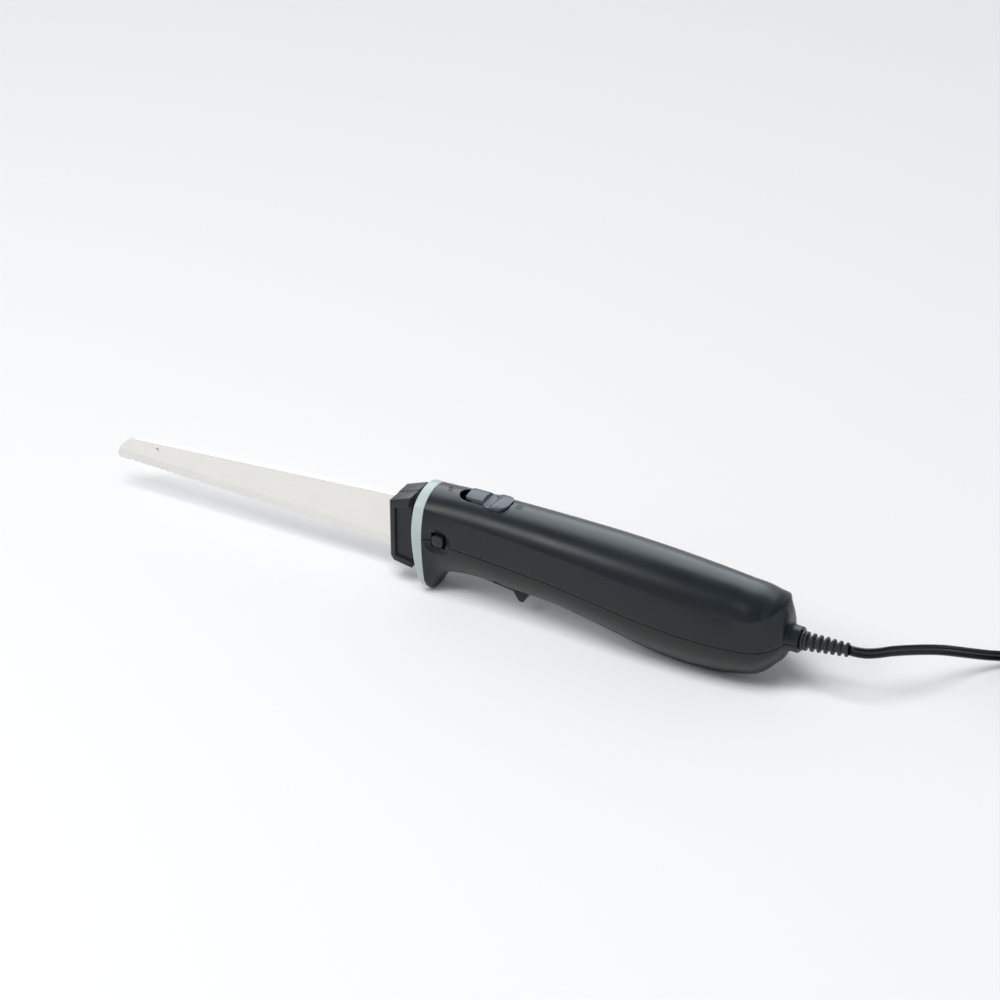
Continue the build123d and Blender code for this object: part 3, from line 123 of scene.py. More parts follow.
def carve(piece, tool, operation="DIFFERENCE"):
    """Cuts or joins another mesh, which is used up."""
    cut = piece.modifiers.new("cut", "BOOLEAN")
    cut.operation = operation
    cut.solver = "EXACT"
    cut.object = tool
    settle(piece)
    bpy.data.objects.remove(tool)


def tool_from(maker, name="tool"):
    """A finished bmesh as a plain object."""
    bmesh.ops.recalc_face_normals(maker, faces=maker.faces)
    mesh = bpy.data.meshes.new(name)
    maker.to_mesh(mesh)
    maker.free()
    piece = bpy.data.objects.new(name, mesh)
    bpy.context.scene.collection.objects.link(piece)
    return piece


def prism(outline, low, high, axis="Y"):
    """A closed outline drawn out along Y, from points in X and Z, or along Z, from X and Y."""
    maker = bmesh.new()
    corners = [at(a, low, b) if axis == "Y" else at(a, b, low) for a, b in outline]
    face = maker.faces.new([maker.verts.new(corner) for corner in corners])
    drawn = bmesh.ops.extrude_face_region(maker, geom=[face])
    move = Vector((0, high - low, 0)) if axis == "Y" else Vector((0, 0, high - low))
    bmesh.ops.translate(maker, vec=move * mm,
                        verts=[v for v in drawn["geom"] if isinstance(v, bmesh.types.BMVert)])
    return tool_from(maker)


def cylinder(centre, radius, depth, axis):
    """A round bar about a point of the drawing, along one axis."""
    turn = {"X": Matrix.Rotation(math.pi / 2, 4, "Y"), "Y": Matrix.Rotation(math.pi / 2, 4, "X"),
            "Z": Matrix.Identity(4)}[axis]
    maker = bmesh.new()
    bmesh.ops.create_cone(maker, cap_ends=True, segments=48, radius1=radius * mm,
                          radius2=radius * mm, depth=depth * mm,
                          matrix=Matrix.Translation(at(*centre)) @ turn)
    return tool_from(maker)


def ring_of(maker, points):
    """A closed ring through some points: its vertices and its edges."""
    ring = [maker.verts.new(point) for point in points]
    return ring, [maker.edges.new((ring[k - 1], ring[k])) for k in range(len(ring))]


def bridge(maker, loops):
    """Lays the skin from each closed loop of edges to the next."""
    for first, second in zip(loops, loops[1:]):
        bmesh.ops.bridge_loops(maker, edges=first + second)


body_height = 70.0
half_body = 24.0
body_front_x = 4.0
body_length = 232.0
wall = 2.2

# Each station has its place along the handle, and then, as shares of the height or of the
# half width: top, underside, seam, widest line, crease, height of the crown over the crease,
# lower edge, and height of that edge over the underside.
station_shares = (
    (0.000, 0.986, -0.006, 0.600, 0.805, 0.650, 0.110, 0.680, 0.170),
    (0.006, 0.986, -0.006, 0.600, 0.805, 0.650, 0.110, 0.680, 0.170),
    (0.013, 0.988, 0.030, 0.599, 0.805, 0.655, 0.113, 0.640, 0.160),
    (0.026, 0.990, 0.110, 0.597, 0.806, 0.662, 0.118, 0.580, 0.130),
    (0.043, 0.994, 0.185, 0.594, 0.807, 0.672, 0.126, 0.530, 0.085),
    (0.065, 0.999, 0.220, 0.591, 0.807, 0.688, 0.134, 0.490, 0.062),
    (0.099, 1.003, 0.237, 0.587, 0.807, 0.704, 0.143, 0.458, 0.057),
    (0.241, 1.009, 0.226, 0.564, 0.820, 0.763, 0.171, 0.458, 0.060),
    (0.371, 1.009, 0.194, 0.543, 0.875, 0.813, 0.186, 0.458, 0.071),
    (0.500, 1.003, 0.109, 0.507, 0.950, 0.867, 0.207, 0.458, 0.090),
    (0.629, 0.986, 0.023, 0.464, 1.000, 0.896, 0.229, 0.458, 0.093),
    (0.759, 0.957, -0.006, 0.437, 1.000, 0.885, 0.236, 0.458, 0.093),
    (0.866, 0.929, 0.034, 0.437, 0.942, 0.817, 0.230, 0.417, 0.089),
    (0.940, 0.900, 0.129, 0.449, 0.812, 0.729, 0.154, 0.417, 0.086),
    (0.978, 0.860, 0.264, 0.479, 0.635, 0.446, 0.046, 0.333, 0.071),
    (0.990, 0.837, 0.310, 0.497, 0.520, 0.180, 0.011, 0.290, 0.064),
    (1.000, 0.757, 0.386, 0.514, 0.420, 0.170, 0.011, 0.250, 0.057),
)


def station_slope(k, j):
    """How fast one share changes along the handle at a station."""
    near = [i for i in (k - 1, k, k + 1) if 0 <= i < len(station_shares)]
    runs = [(station_shares[b][0] - station_shares[a][0],
             station_shares[b][j] - station_shares[a][j]) for a, b in zip(near, near[1:])]
    if len(runs) == 1:
        return runs[0][1] / runs[0][0]
    (d0, v0), (d1, v1) = runs
    return (v0 / d0 * d1 + v1 / d1 * d0) / (d0 + d1)


def shares_at(place):
    """The cross section at a place along the handle, on a smooth curve through the stations."""
    k = 1
    while station_shares[k][0] < place and k < len(station_shares) - 1:
        k += 1
    before, after = station_shares[k - 1], station_shares[k]
    run = after[0] - before[0]
    t = (place - before[0]) / run
    result = []
    for j in range(1, len(before)):
        result.append(before[j] * (2 * t ** 3 - 3 * t ** 2 + 1)
                      + after[j] * (3 * t ** 2 - 2 * t ** 3)
                      + station_slope(k - 1, j) * run * (t ** 3 - 2 * t ** 2 + t)
                      + station_slope(k, j) * run * (t ** 3 - t ** 2))
    return result


side_steps = 10
crown_steps = 22
under_steps = 16


def cross_section(place, inset=0.0):
    """Points of one ring, from the seam over the crown to the other seam and back below."""
    top, low, seam, wide, crease, crown, edge, rise = shares_at(place)
    top_z, low_z = body_height * top - inset, body_height * low + inset
    seam_z = body_height * seam
    wide_y = half_body * min(wide, 1.0) - inset
    crease_y = half_body * crease - inset
    edge_y = half_body * edge - inset
    crease_z = top_z - body_height * crown * crease_y / (half_body * crease)
    edge_z = low_z + body_height * rise * edge_y / (half_body * edge)
    sides = []
    for reach_y, reach_z, way in ((crease_y, crease_z, 1), (edge_y, edge_z, -1)):
        bow, height = wide_y - reach_y, abs(reach_z - seam_z)
        radius = (bow ** 2 + height ** 2) / (2 * bow)
        sweep = math.atan2(height, radius - bow)
        sides.append([(wide_y - radius + radius * math.cos(sweep * k / side_steps),
                       seam_z + way * radius * math.sin(sweep * k / side_steps))
                      for k in range(side_steps)])
    over, under = sides
    caps = []
    for reach, height, z, way, steps in (
            (crease_y, top_z - crease_z, top_z, 1, crown_steps),
            (edge_y, edge_z - low_z, low_z, -1, under_steps)):
        radius = (reach ** 2 + height ** 2) / (2 * height)
        sweep = math.atan2(reach, radius - height)
        turns = [sweep * (1 - 2 * k / steps) for k in range(steps + 1)]
        caps.append([(radius * math.sin(turn), z - way * radius * (1 - math.cos(turn)))
                     for turn in turns])
    crown_points, floor_points = caps
    upper = over + crown_points + [(-y, z) for y, z in reversed(over)]
    lower = [(-y, z) for y, z in under[1:]] + [(-y, z) for y, z in floor_points]
    return upper + lower + list(reversed(under[1:]))


nose_places = [0.0, 0.003, 0.006, 0.0095, 0.013, 0.018, 0.022, 0.026, 0.030, 0.035, 0.040,
               0.046, 0.054, 0.062, 0.072, 0.085]
grip_places = [0.100 + 0.019 * k for k in range(40)]
tail_places = [0.866, 0.880, 0.894, 0.908, 0.920, 0.932, 0.942, 0.950, 0.958, 0.965, 0.972,
               0.978, 0.982, 0.986, 0.990]
rear_insets = ((0.9930, 0.15), (0.9955, 0.5), (0.9975, 1.1), (0.9990, 1.9), (0.9998, 2.8),
               (1.0, 3.6))
places = [(place, 0.0) for place in nose_places + grip_places + tail_places]
places += rear_insets
mesh_maker = bmesh.new()
rings, loops = [], []
for place, inset in places:
    ring, loop = ring_of(mesh_maker, [at(body_front_x + body_length * place, y, max(z, 0.0))
                                      for y, z in cross_section(place, inset)])
    rings.append(ring)
    loops.append(loop)
bridge(mesh_maker, loops)
mesh_maker.faces.new(rings[-1])
bmesh.ops.recalc_face_normals(mesh_maker, faces=mesh_maker.faces)

# The creases between crown and sides, and the crown's rear edge, have a small radius
crease_soft = 0.7
near_crease, far_crease = side_steps, side_steps + crown_steps
rear_edge = len(places) - len(rear_insets) - 1
creases = [(rings[i][k], rings[i + 1][k]) for i in range(rear_edge)
           for k in (near_crease, far_crease)]
creases += [(rings[rear_edge][k], rings[rear_edge][k + 1])
            for k in range(near_crease, far_crease)]
bmesh.ops.bevel(mesh_maker, geom=[mesh_maker.edges.get(pair) for pair in creases],
                offset=crease_soft * mm, offset_type="OFFSET", affect="EDGES", segments=3,
                profile=0.5, material=-1, clamp_overlap=True)
body = tool_from(mesh_maker, "handle_body")
walls = body.modifiers.new("walls", "SOLIDIFY")
walls.thickness = wall * mm
walls.offset = -1.0
settle(body)

# Boss at the rear, with the flared foot that the strain relief comes out of
boss_z = 36.0
boss_bore = 4.8
boss_profile = ((228.0, 10.4), (235.6, 9.4), (237.0, 8.2), (238.6, 7.8), (242.4, 7.8),
                (243.0, 7.2), (243.0, boss_bore), (228.0, boss_bore))
mesh_maker = bmesh.new()
ring, loop = ring_of(mesh_maker, [at(x, 0, boss_z + r) for x, r in boss_profile])
bmesh.ops.spin(mesh_maker, geom=ring + loop, cent=at(0, 0, boss_z), axis=(1, 0, 0),
               angle=2 * math.pi, steps=48, use_merge=True)
bmesh.ops.remove_doubles(mesh_maker, verts=mesh_maker.verts, dist=0.001 * mm)
carve(body, cylinder((236.0, 0, boss_z), boss_bore, 30.0, "X"))
carve(body, tool_from(mesh_maker), "UNION")

# A round dish on each side, hollowed by a large ball in a thicker wall, and the square hole
# of the release button in its middle
dish_x, dish_z, dish_radius, dish_depth, dish_side_y = 14.5, 42.9, 9.5, 3.4, 19.3
dish_ball = (dish_radius ** 2 + dish_depth ** 2) / (2 * dish_depth)
dish_back_y, dish_back_thickness, dish_back_radius = 15.9, 4.4, dish_radius - 0.2
button_hole = 4.8
for side in (-1, 1):
    carve(body, cylinder((dish_x, side * dish_back_y, dish_z), dish_back_radius,
                         dish_back_thickness, "Y"), "UNION")
    ball_y = side * (dish_side_y + dish_ball - dish_depth)
    mesh_maker = bmesh.new()
    bmesh.ops.create_uvsphere(
        mesh_maker, u_segments=96, v_segments=48, radius=dish_ball * mm,
        matrix=Matrix.Translation(at(dish_x, ball_y, dish_z))
        @ Matrix.Rotation(math.pi / 2, 4, "X"))
    carve(body, tool_from(mesh_maker))
hole = [(dish_x + a * button_hole, dish_z + b * button_hole)
        for a, b in ((-1, -1), (1, -1), (1, 1), (-1, 1))]
carve(body, prism(hole, -30.0, 30.0))

# The slot of the slide lock on top and the opening of the trigger below
slot_front_x, slot_rear_x, slot_half = 20.7, 46.0, 6.5
slot_outline = []
for centre, turn in ((slot_rear_x - slot_half, -90), (slot_front_x + slot_half, 90)):
    for k in range(13):
        angle = math.radians(turn + 15 * k)
        slot_outline.append((centre + slot_half * math.cos(angle), slot_half * math.sin(angle)))
carve(body, prism(slot_outline, 60.0, 80.0, "Z"))
opening_front_x, opening_rear_x, opening_half = 27.9, 68.4, 6.3
opening = [(opening_front_x, -opening_half), (opening_rear_x, -opening_half),
           (opening_rear_x, opening_half), (opening_front_x, opening_half)]
carve(body, prism(opening, -5.0, 24.0, "Z"))

# Screw towers in the lower shell, each with the well that its screw goes up
screw_places = ((52.0, 11.2), (52.0, -11.2), (104.0, 12.2), (104.0, -12.2), (213.0, 0.0))
tower_radius, well_radius, tower_lift, seat_drop, well_reach = 3.8, 3.0, 1.2, 9.0, 10.0
for x, y in screw_places:
    place = (x - body_front_x) / body_length
    seam_z = body_height * shares_at(place)[2]
    underside = cross_section(place)[-under_steps // 2 - side_steps:]
    floor_z = min(underside, key=lambda point: abs(point[0] - abs(y) - tower_radius))[1]
    tower_foot = floor_z + tower_lift
    carve(body, cylinder((x, y, (tower_foot + seam_z) / 2), tower_radius,
                         seam_z - tower_foot, "Z"), "UNION")
    well_top = seam_z - seat_drop
    carve(body, cylinder((x, y, (well_top - well_reach) / 2), well_radius,
                         well_top + well_reach, "Z"))


def soften(piece, width, sharp=32):
    """The small radius that a mould leaves on every edge, and smooth shading between edges."""
    soft = piece.modifiers.new("edges", "BEVEL")
    soft.limit_method = "ANGLE"
    soft.angle_limit = math.radians(30)
    soft.width = width * mm
    soft.segments = 2
    soft.use_clamp_overlap = True
    settle(piece)
    piece.data.shade_smooth()
    piece.data.set_sharp_from_angle(angle=math.radians(sharp))


def mount(piece, name, material, node_name, body_name):
    """A finished piece takes its name, its finish and its node's place on the moving body."""
    piece.name = name
    piece.data.materials.clear()
    piece.data.materials.append(material)
    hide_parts(node_name)
    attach(piece, body_name)


# Satin ABS, moulded in a finely spark-eroded steel mould. The upper shell is a cool near
# black, on which a soft highlight runs along the crown and the crease. The lower shell is
# warmer and duller. The real grain is finer than the render shows, so it is drawn at 0.5 mm.
upper_black = moulded_plastic("satin_black_abs", "#141b1f", 0.34, 0.5 * mm, 0.012 * mm)
lower_black = moulded_plastic("satin_charcoal_abs", "#191a1a", 0.42, 0.5 * mm, 0.014 * mm)

# One cut along the line of the seam parts the two shells and leaves its narrow dark gap
seam_gap = 0.5
seam_steps = 60
cut_front_x, cut_rear_x, cut_half = -10.0, 260.0, 40.0
seam_line = [(body_front_x + body_length * (k / seam_steps),
              body_height * shares_at(k / seam_steps)[2]) for k in range(seam_steps + 1)]
seam_line = [(cut_front_x, seam_line[0][1])] + seam_line + [(cut_rear_x, seam_line[-1][1])]
for name, node_name, material, far_z, way in (
        ("upper_shell", "upper_housing", upper_black, -40.0, 1),
        ("lower_shell", "lower_housing", lower_black, 120.0, -1)):
    shell = body.copy()
    shell.data = body.data.copy()
    bpy.context.scene.collection.objects.link(shell)
    block = [(x, z + way * seam_gap / 2) for x, z in seam_line]
    block += [(cut_rear_x, far_z), (cut_front_x, far_z)]
    carve(shell, prism(block, -cut_half, cut_half))
    soften(shell, 0.3)
    mount(shell, name, material, node_name, "handle")
bpy.data.objects.remove(body)


# Front collar: one moulding of pale grey ABS, pressed over the front of both shells and bowed
# forwards, with the slot that the blades come through.
def merged_copy(node_name):
    """A CAD piece's own mesh as a new piece, its loose triangles joined."""
    piece = bpy.data.objects.new(node_name + "_copy", nodes[node_name].data.copy())
    bpy.context.scene.collection.objects.link(piece)
    maker = bmesh.new()
    maker.from_mesh(piece.data)
    bmesh.ops.remove_doubles(maker, verts=maker.verts, dist=0.001 * mm)
    maker.to_mesh(piece.data)
    maker.free()
    return piece


# Moulded ABS with a soft sheen: a flat pale band with a faint green cast beside the black
collar_grey = moulded_plastic("pale_grey_abs", "#b0bcba", 0.38, 0.6 * mm, 0.01 * mm)
collar = merged_copy("front_collar")
soften(collar, 0.3)
mount(collar, "front_collar_moulding", collar_grey, "front_collar", "handle")


# Guards: nylon moulded round the heels of the blades, one to each and mirrored. Each has a
# sunken panel on its outer side that runs out at the rear, and bevelled outer edges.
guard_half_width, guard_split, guard_edge, guard_panel_depth = 11.8, 0.2, 1.2, 2.2
guard_profile = ((-22.3, 18.4), (-20.2, 15.1), (-7.7, 13.0), (-7.7, 62.6), (-22.3, 57.0))
guard_panel = ((-18.3, 19.6), (-6.0, 17.8), (-6.0, 56.8), (-18.3, 53.2))
# Moulded nylon with a dull grain: charcoal, and duller than the handle behind it
guard_charcoal = moulded_plastic("charcoal_nylon", "#1f2123", 0.4, 0.5 * mm, 0.014 * mm)
for way, name, node_name, body_name in (
        (-1, "near_guard_moulding", "near_guard", "near_blade_set"),
        (1, "far_guard_moulding", "far_guard", "far_blade_set")):
    guard = prism(guard_profile, way * guard_half_width, way * guard_split)
    mesh_maker = bmesh.new()
    mesh_maker.from_mesh(guard.data)
    outer = [e for e in mesh_maker.edges
             if all(abs(v.co.y) > (guard_half_width - 0.1) * mm for v in e.verts)]
    bmesh.ops.bevel(mesh_maker, geom=outer, offset=guard_edge * mm, offset_type="OFFSET",
                    affect="EDGES", segments=1, profile=0.5, material=-1, clamp_overlap=True)
    mesh_maker.to_mesh(guard.data)
    mesh_maker.free()
    carve(guard, prism(guard_panel, way * (guard_half_width + 1.0),
                       way * (guard_half_width - guard_panel_depth)))
    soften(guard, 0.3)
    mount(guard, name, guard_charcoal, node_name, body_name)


# Slide lock: one acetal moulding that snaps into the slot and runs along it. Its front is a
# raised block, with a steep step behind it down to a hollow for the thumb and a low pad.
thumb_hollow = ((38.0, 76.0), (38.2, 71.9), (38.6, 71.0), (39.4, 70.2), (40.6, 69.75),
                (42.2, 69.6), (43.6, 69.9), (45.0, 70.6), (46.4, 71.15), (48.5, 71.4),
                (56.0, 71.5), (56.0, 76.0))
# Moulded acetal, slate black and satin, its colour painted a shade lighter as painted sheen for
# the light its top catches, so it stands out a little
slide_with_painted_sheen = moulded_plastic("satin_black_acetal", "#394046", 0.34, 0.4 * mm, 0.01 * mm)
slider = merged_copy("lock_slider")
carve(slider, prism(thumb_hollow, -12.0, 12.0))
soften(slider, 0.35, 28)
mount(slider, "lock_slide_moulding", slide_with_painted_sheen, "lock_slider", "lock")


# Lock signs: two plain padlock marks printed on the crown, open in front of the slot and shut
# behind the slider. Each is a thin film of ink that stands a few hundredths proud.
sign_places = ((14.2, 1.5), (59.6, 0.0))
shackle_outer, shackle_inner, shackle_steps = 1.45, 0.85, 8
case_front, case_rear, case_half = -0.9, 2.1, 1.9
print_depth = 0.6
# Pad printing ink, dull and blacker than the plastic: legible only as a dark mark
sign_black = moulded_plastic("black_pad_print", "#08090a", 0.5, 0.5 * mm, 0.004 * mm)
for sign_x, shackle_shift in sign_places:
    sign_z = body_height * shares_at((sign_x - body_front_x) / body_length)[0]
    shackle = []
    for radius, steps in ((shackle_outer, range(shackle_steps + 1)),
                          (shackle_inner, reversed(range(shackle_steps + 1)))):
        shackle += [(sign_x + case_front - radius * math.sin(math.pi * k / shackle_steps),
                     shackle_shift + radius * math.cos(math.pi * k / shackle_steps))
                    for k in steps]
    sign = prism(shackle, sign_z - print_depth, sign_z + 0.06, "Z")
    lock_case = [(sign_x + case_front, -case_half), (sign_x + case_rear, -case_half),
                 (sign_x + case_rear, case_half), (sign_x + case_front, case_half)]
    carve(sign, prism(lock_case, sign_z - print_depth, sign_z + 0.05, "Z"), "UNION")
    sign.name = "lock_sign"
    sign.data.materials.clear()
    sign.data.materials.append(sign_black)
    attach(sign, "handle")


# Release buttons: two square caps of acetal, one in the dish on each side, that push the
# latch of their blade. Their edges are rounded for the finger.
# Moulded acetal, black and a little glossy: a small square glint in the dark of the dish
button_black = moulded_plastic("black_acetal", "#1f2224", 0.3, 0.4 * mm, 0.01 * mm)
for side in ("near", "far"):
    button = merged_copy(side + "_release_button")
    soften(button, 0.6)
    mount(button, side + "_release_button_cap", button_black, side + "_release_button",
          side + "_button")


# Trigger: one moulding of the same charcoal ABS as the lower shell, that turns on a pin behind
# the foot. Its finger hook is joined on with a blunt rounded tip.
hook_half = 4.7
hook_tip = ((58.8, 13.4), (61.9, 8.7), (62.6, 8.0), (63.4, 7.8), (64.6, 7.8), (65.2, 8.1),
            (65.6, 8.8), (66.5, 12.7))
trigger = merged_copy("trigger")
carve(trigger, prism(hook_tip, -hook_half, hook_half), "UNION")
soften(trigger, 0.3)
mount(trigger, "trigger_moulding", lower_black, "trigger", "trigger_lever")


# Blades: two of stainless steel, stamped with a scalloped edge, ground along it and joined by
# a rivet near the tip that lets them slide on each other.
def drawn_metal(name, colour, roughness, line_spacing, line_depth, stretch=(0.05, 1.0, 1.0)):
    """Metal with the fine lines that rolling, drawing or grinding leaves along its length, as
    a bump and a slight change of shade. Its shine drifts a little over 25 mm."""
    cloud_size = 25 * mm
    shine_drift = 0.05
    material = new_material(name)
    tree = material.node_tree
    place = add_node(tree, "TexCoord").outputs["Object"]
    along = add_node(tree, "Mapping", {"Vector": place, "Scale": stretch})
    lines = add_node(tree, "TexNoise", {"Vector": along.outputs["Vector"],
                                        "Scale": 1 / line_spacing, "Detail": 2.0})
    cloud = add_node(tree, "TexNoise", {"Vector": place, "Scale": 1 / cloud_size, "Detail": 2.0})
    shine = add_node(tree, "MapRange", {
        "Value": cloud.outputs["Fac"], "From Min": 0.3, "From Max": 0.7,
        "To Min": roughness - shine_drift, "To Max": roughness + shine_drift})
    shade = add_node(tree, "MapRange", {
        "Value": lines.outputs["Fac"], "From Min": 0.3, "From Max": 0.7,
        "To Min": 0.98, "To Max": 1.02})
    tint = add_node(tree, "HueSaturation", {"Value": shade.outputs["Result"],
                                            "Color": linear(colour)})
    bump = add_node(tree, "Bump", {"Height": lines.outputs["Fac"], "Distance": line_depth})
    shader = add_node(tree, "BsdfPrincipled", {
        "Base Color": tint.outputs["Color"], "Metallic": 1.0,
        "Roughness": shine.outputs["Result"], "Normal": bump.outputs["Normal"]})
    add_node(tree, "OutputMaterial", {"Surface": shader.outputs["BSDF"]})
    return material


def dress(material, *names):
    """A CAD piece takes its finish."""
    for name in names:
        nodes[name].data.materials.clear()
        nodes[name].data.materials.append(material)


# Stainless steel, ground lengthwise and left satin: an even, pale, slightly warm sheet. The
# grinding lines are drawn at 0.7 mm, far coarser than the real ones, so that they show.
blade_steel = drawn_metal("ground_stainless_steel", "#eceae5", 0.36, 0.7 * mm, 0.006 * mm)
# The bevel of the edge is ground once more. The band along it is painted a shade darker, partly
# for that finish and partly as painted shade of the floor that its tilted facet reflects
edge_fall, edge_level = 0.02996, 16.2 * mm
band_height, band_blend = 7.2 * mm, 0.5 * mm
tree = blade_steel.node_tree
level = add_node(tree, "VectorMath", {0: add_node(tree, "TexCoord").outputs["Object"],
                                      1: (edge_fall, 0.0, 1.0)}, operation="DOT_PRODUCT")
# Painted shade: the steel's colour falls to 0.93 of itself within the band above the edge
painted_band_shade = add_node(tree, "MapRange", {
    "Value": level.outputs["Value"], "From Min": edge_level + band_height,
    "From Max": edge_level + band_height + band_blend, "To Min": 0.93, "To Max": 1.0})
steel_shader = next(n for n in tree.nodes if n.type == "BSDF_PRINCIPLED")
steel_tint = next(n for n in tree.nodes if n.type == "HUE_SAT")
ground_band_painted_shade = add_node(tree, "HueSaturation", {"Value": painted_band_shade.outputs["Result"],
                                               "Color": steel_tint.outputs["Color"]})
tree.links.new(ground_band_painted_shade.outputs["Color"], steel_shader.inputs["Base Color"])
dress(blade_steel, "near_blade", "far_blade", "tip_rivet")


# Blade holders: two nylon sliders that the heels of the blades snap into, each with a latch
# spring, and the frame that guides them. The frame is screwed between the shells.
# Natural nylon, moulded and unpainted: milky, warm white and softly shiny
white_nylon = moulded_plastic("natural_nylon", "#dcd8cc", 0.45, 0.6 * mm, 0.015 * mm)
# Nylon filled with glass fibre, moulded: mid grey and dull, with a faintly rough skin
grey_nylon = moulded_plastic("grey_glass_filled_nylon", "#6f7375", 0.5, 0.5 * mm, 0.02 * mm)
# Drawn and hardened spring wire and strip: bright, with fine lines along it
spring_steel = drawn_metal("spring_steel", "#9a9c9e", 0.3, 0.5 * mm, 0.004 * mm)
dress(white_nylon, "near_blade_holder", "far_blade_holder")
dress(grey_nylon, "blade_guide")
dress(spring_steel, "near_latch_spring", "far_latch_spring")


# Worm drive: a nylon wheel with two opposite pins that push the holders to and fro. It turns
# on a steel axle in a frame of filled nylon, and the worm on the motor's shaft drives it.
# Turned and polished steel: cold and bright, with a tight highlight
turned_steel = drawn_metal("turned_steel", "#b4b6b8", 0.25, 0.4 * mm, 0.004 * mm)
dress(grey_nylon, "gear_frame")
dress(white_nylon, "drive_gear")
dress(turned_steel, "gear_axle", "worm_shaft")


# Motor: a series motor for the mains. The armature turns in bronze bushes between the coils of
# the stator, and two sprung brushes feed its commutator. A nylon fan is pressed on its shaft.
# Stacked steel laminations: grey and dull, with the lines of the sheets across the axis
core_steel = drawn_metal("laminated_core_steel", "#7d8084", 0.45, 0.6 * mm, 0.02 * mm,
                         (1.0, 0.05, 0.05))
# Copper wire under clear enamel, wound: reddish and glossy, with the lines of the turns
copper_wire = drawn_metal("enamelled_copper_wire", "#b4683a", 0.32, 0.5 * mm, 0.05 * mm,
                          (0.2, 1.0, 1.0))
# Bronze powder, pressed and sintered: brown gold and matt, with an even grain
sintered_bronze = drawn_metal("sintered_bronze", "#a3814f", 0.5, 0.4 * mm, 0.01 * mm,
                              (1.0, 1.0, 1.0))
# Carbon powder, pressed to a block: near black and matt
carbon_block = moulded_plastic("pressed_carbon", "#202022", 0.6, 0.3 * mm, 0.02 * mm)
dress(core_steel, "armature_core", "stator_core")
dress(copper_wire, "armature_windings", "commutator", "field_coils")
dress(sintered_bronze, "front_bush", "rear_bush")
dress(carbon_block, "carbon_brushes")
dress(spring_steel, "brush_springs")
dress(grey_nylon, "bearing_bracket")
dress(white_nylon, "cooling_fan", "brush_holders")


# Switch: a nylon case with a plunger that the trigger lifts. The trigger turns on a steel pin.
dress(white_nylon, "switch_body", "switch_plunger")
dress(turned_steel, "trigger_pin")


# Return springs: one coil of spring wire behind each release button and one over the trigger. They
# stand on the handle as still coils; in the real knife each shortens to about half as its button
# or the trigger is pressed.
for node_name, joint, axis, anchor, keep in (
        ("near_button_spring", "near_button_press", (0, 1, 0), (14.5, -6.4, 42.9), 0.52),
        ("far_button_spring", "far_button_press", (0, 1, 0), (14.5, 6.4, 42.9), 0.52),
        ("trigger_spring", "trigger_press", (0, 0, 1), (60.0, 0.0, 25.6), 0.5)):
    spring = merged_copy(node_name)
    spring.data.shade_smooth()
    mount(spring, node_name + "_wire", spring_steel, node_name, "handle")
    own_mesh(spring)


# Screws and cord clamp: steel screws join the shells from below, and two more hold the clamp
# of filled nylon that takes the pull of the cord.
dress(turned_steel, "housing_screws", "clamp_screws")
dress(grey_nylon, "cord_clamp")


# Strain relief: a sleeve of soft vinyl moulded round the cord, gripped in the boss. Its ribs
# grow smaller towards the end, and it rises a little with the cord.
relief_x, relief_z, relief_length, relief_rise = 243.0, 36.0, 29.0, 2.6
relief_root, relief_end = (12.4, 10.6), (9.2, 6.2)
rib_count, ring_segments = 8, 40
rib_outline = ((0.0, 0.62), (0.1, 0.84), (0.5, 0.98), (1.1, 1.0), (1.7, 0.98), (2.1, 0.84),
               (2.15, 0.62))
relief_profile = [(225.4, 1.065), (228.0, 1.065), (228.05, 0.742), (242.95, 0.742)]
for k in range(rib_count):
    rib_x = relief_x + max(0.0, relief_length / (rib_count - 1) * k - rib_outline[-1][0])
    relief_profile += [(rib_x + x, share) for x, share in rib_outline]
mesh_maker = bmesh.new()
loops = []
for k, (x, share) in enumerate(relief_profile):
    along = max(0.0, (x - relief_x) / relief_length)
    height, width = [(a + (b - a) * along) * share / 2 for a, b in zip(relief_root, relief_end)]
    made = bmesh.ops.create_circle(
        mesh_maker, cap_ends=k in (0, len(relief_profile) - 1), segments=ring_segments,
        radius=1.0, matrix=Matrix.Translation(at(x, 0, relief_z + relief_rise * along))
        @ Matrix.Rotation(math.pi / 2, 4, "Y")
        @ Matrix.Diagonal((height * mm, width * mm, 1.0, 1.0)))
    ring = set(made["verts"])
    loops.append([e for e in mesh_maker.edges if e.verts[0] in ring and e.verts[1] in ring])
bridge(mesh_maker, loops)
relief = tool_from(mesh_maker)
relief.data.shade_smooth()
relief.data.set_sharp_from_angle(angle=math.radians(50))
# Soft vinyl, moulded: black, duller than the cord, so that its ribs show as soft bands
relief_vinyl = moulded_plastic("black_pvc_moulding", "#262b2d", 0.42, 0.8 * mm, 0.02 * mm)
mount(relief, "strain_relief_moulding", relief_vinyl, "strain_relief", "handle")


# Mains cord: flat flex of two cores with a web between them, extruded in one piece, 6.6 by
# 3.3 mm. It leaves the relief level, drops to the floor and is put away in a round coil.
cord_width = 6.6
cord_thickness = 3.3
cord_route = (
    (272.0, 0.0, 38.6), (279.5, 0.0, 38.6), (287.6, 4.4, 38.9), (294.0, 13.0, 37.6),
    (310.5, 37.0, 29.6), (320.5, 57.0, 18.4), (335.5, 77.0, 8.2), (351.0, 94.0, 4.7),
    (366.5, 109.0, 4.5), (380.0, 114.0, 4.5), (391.4, 114.0, 4.5),
)

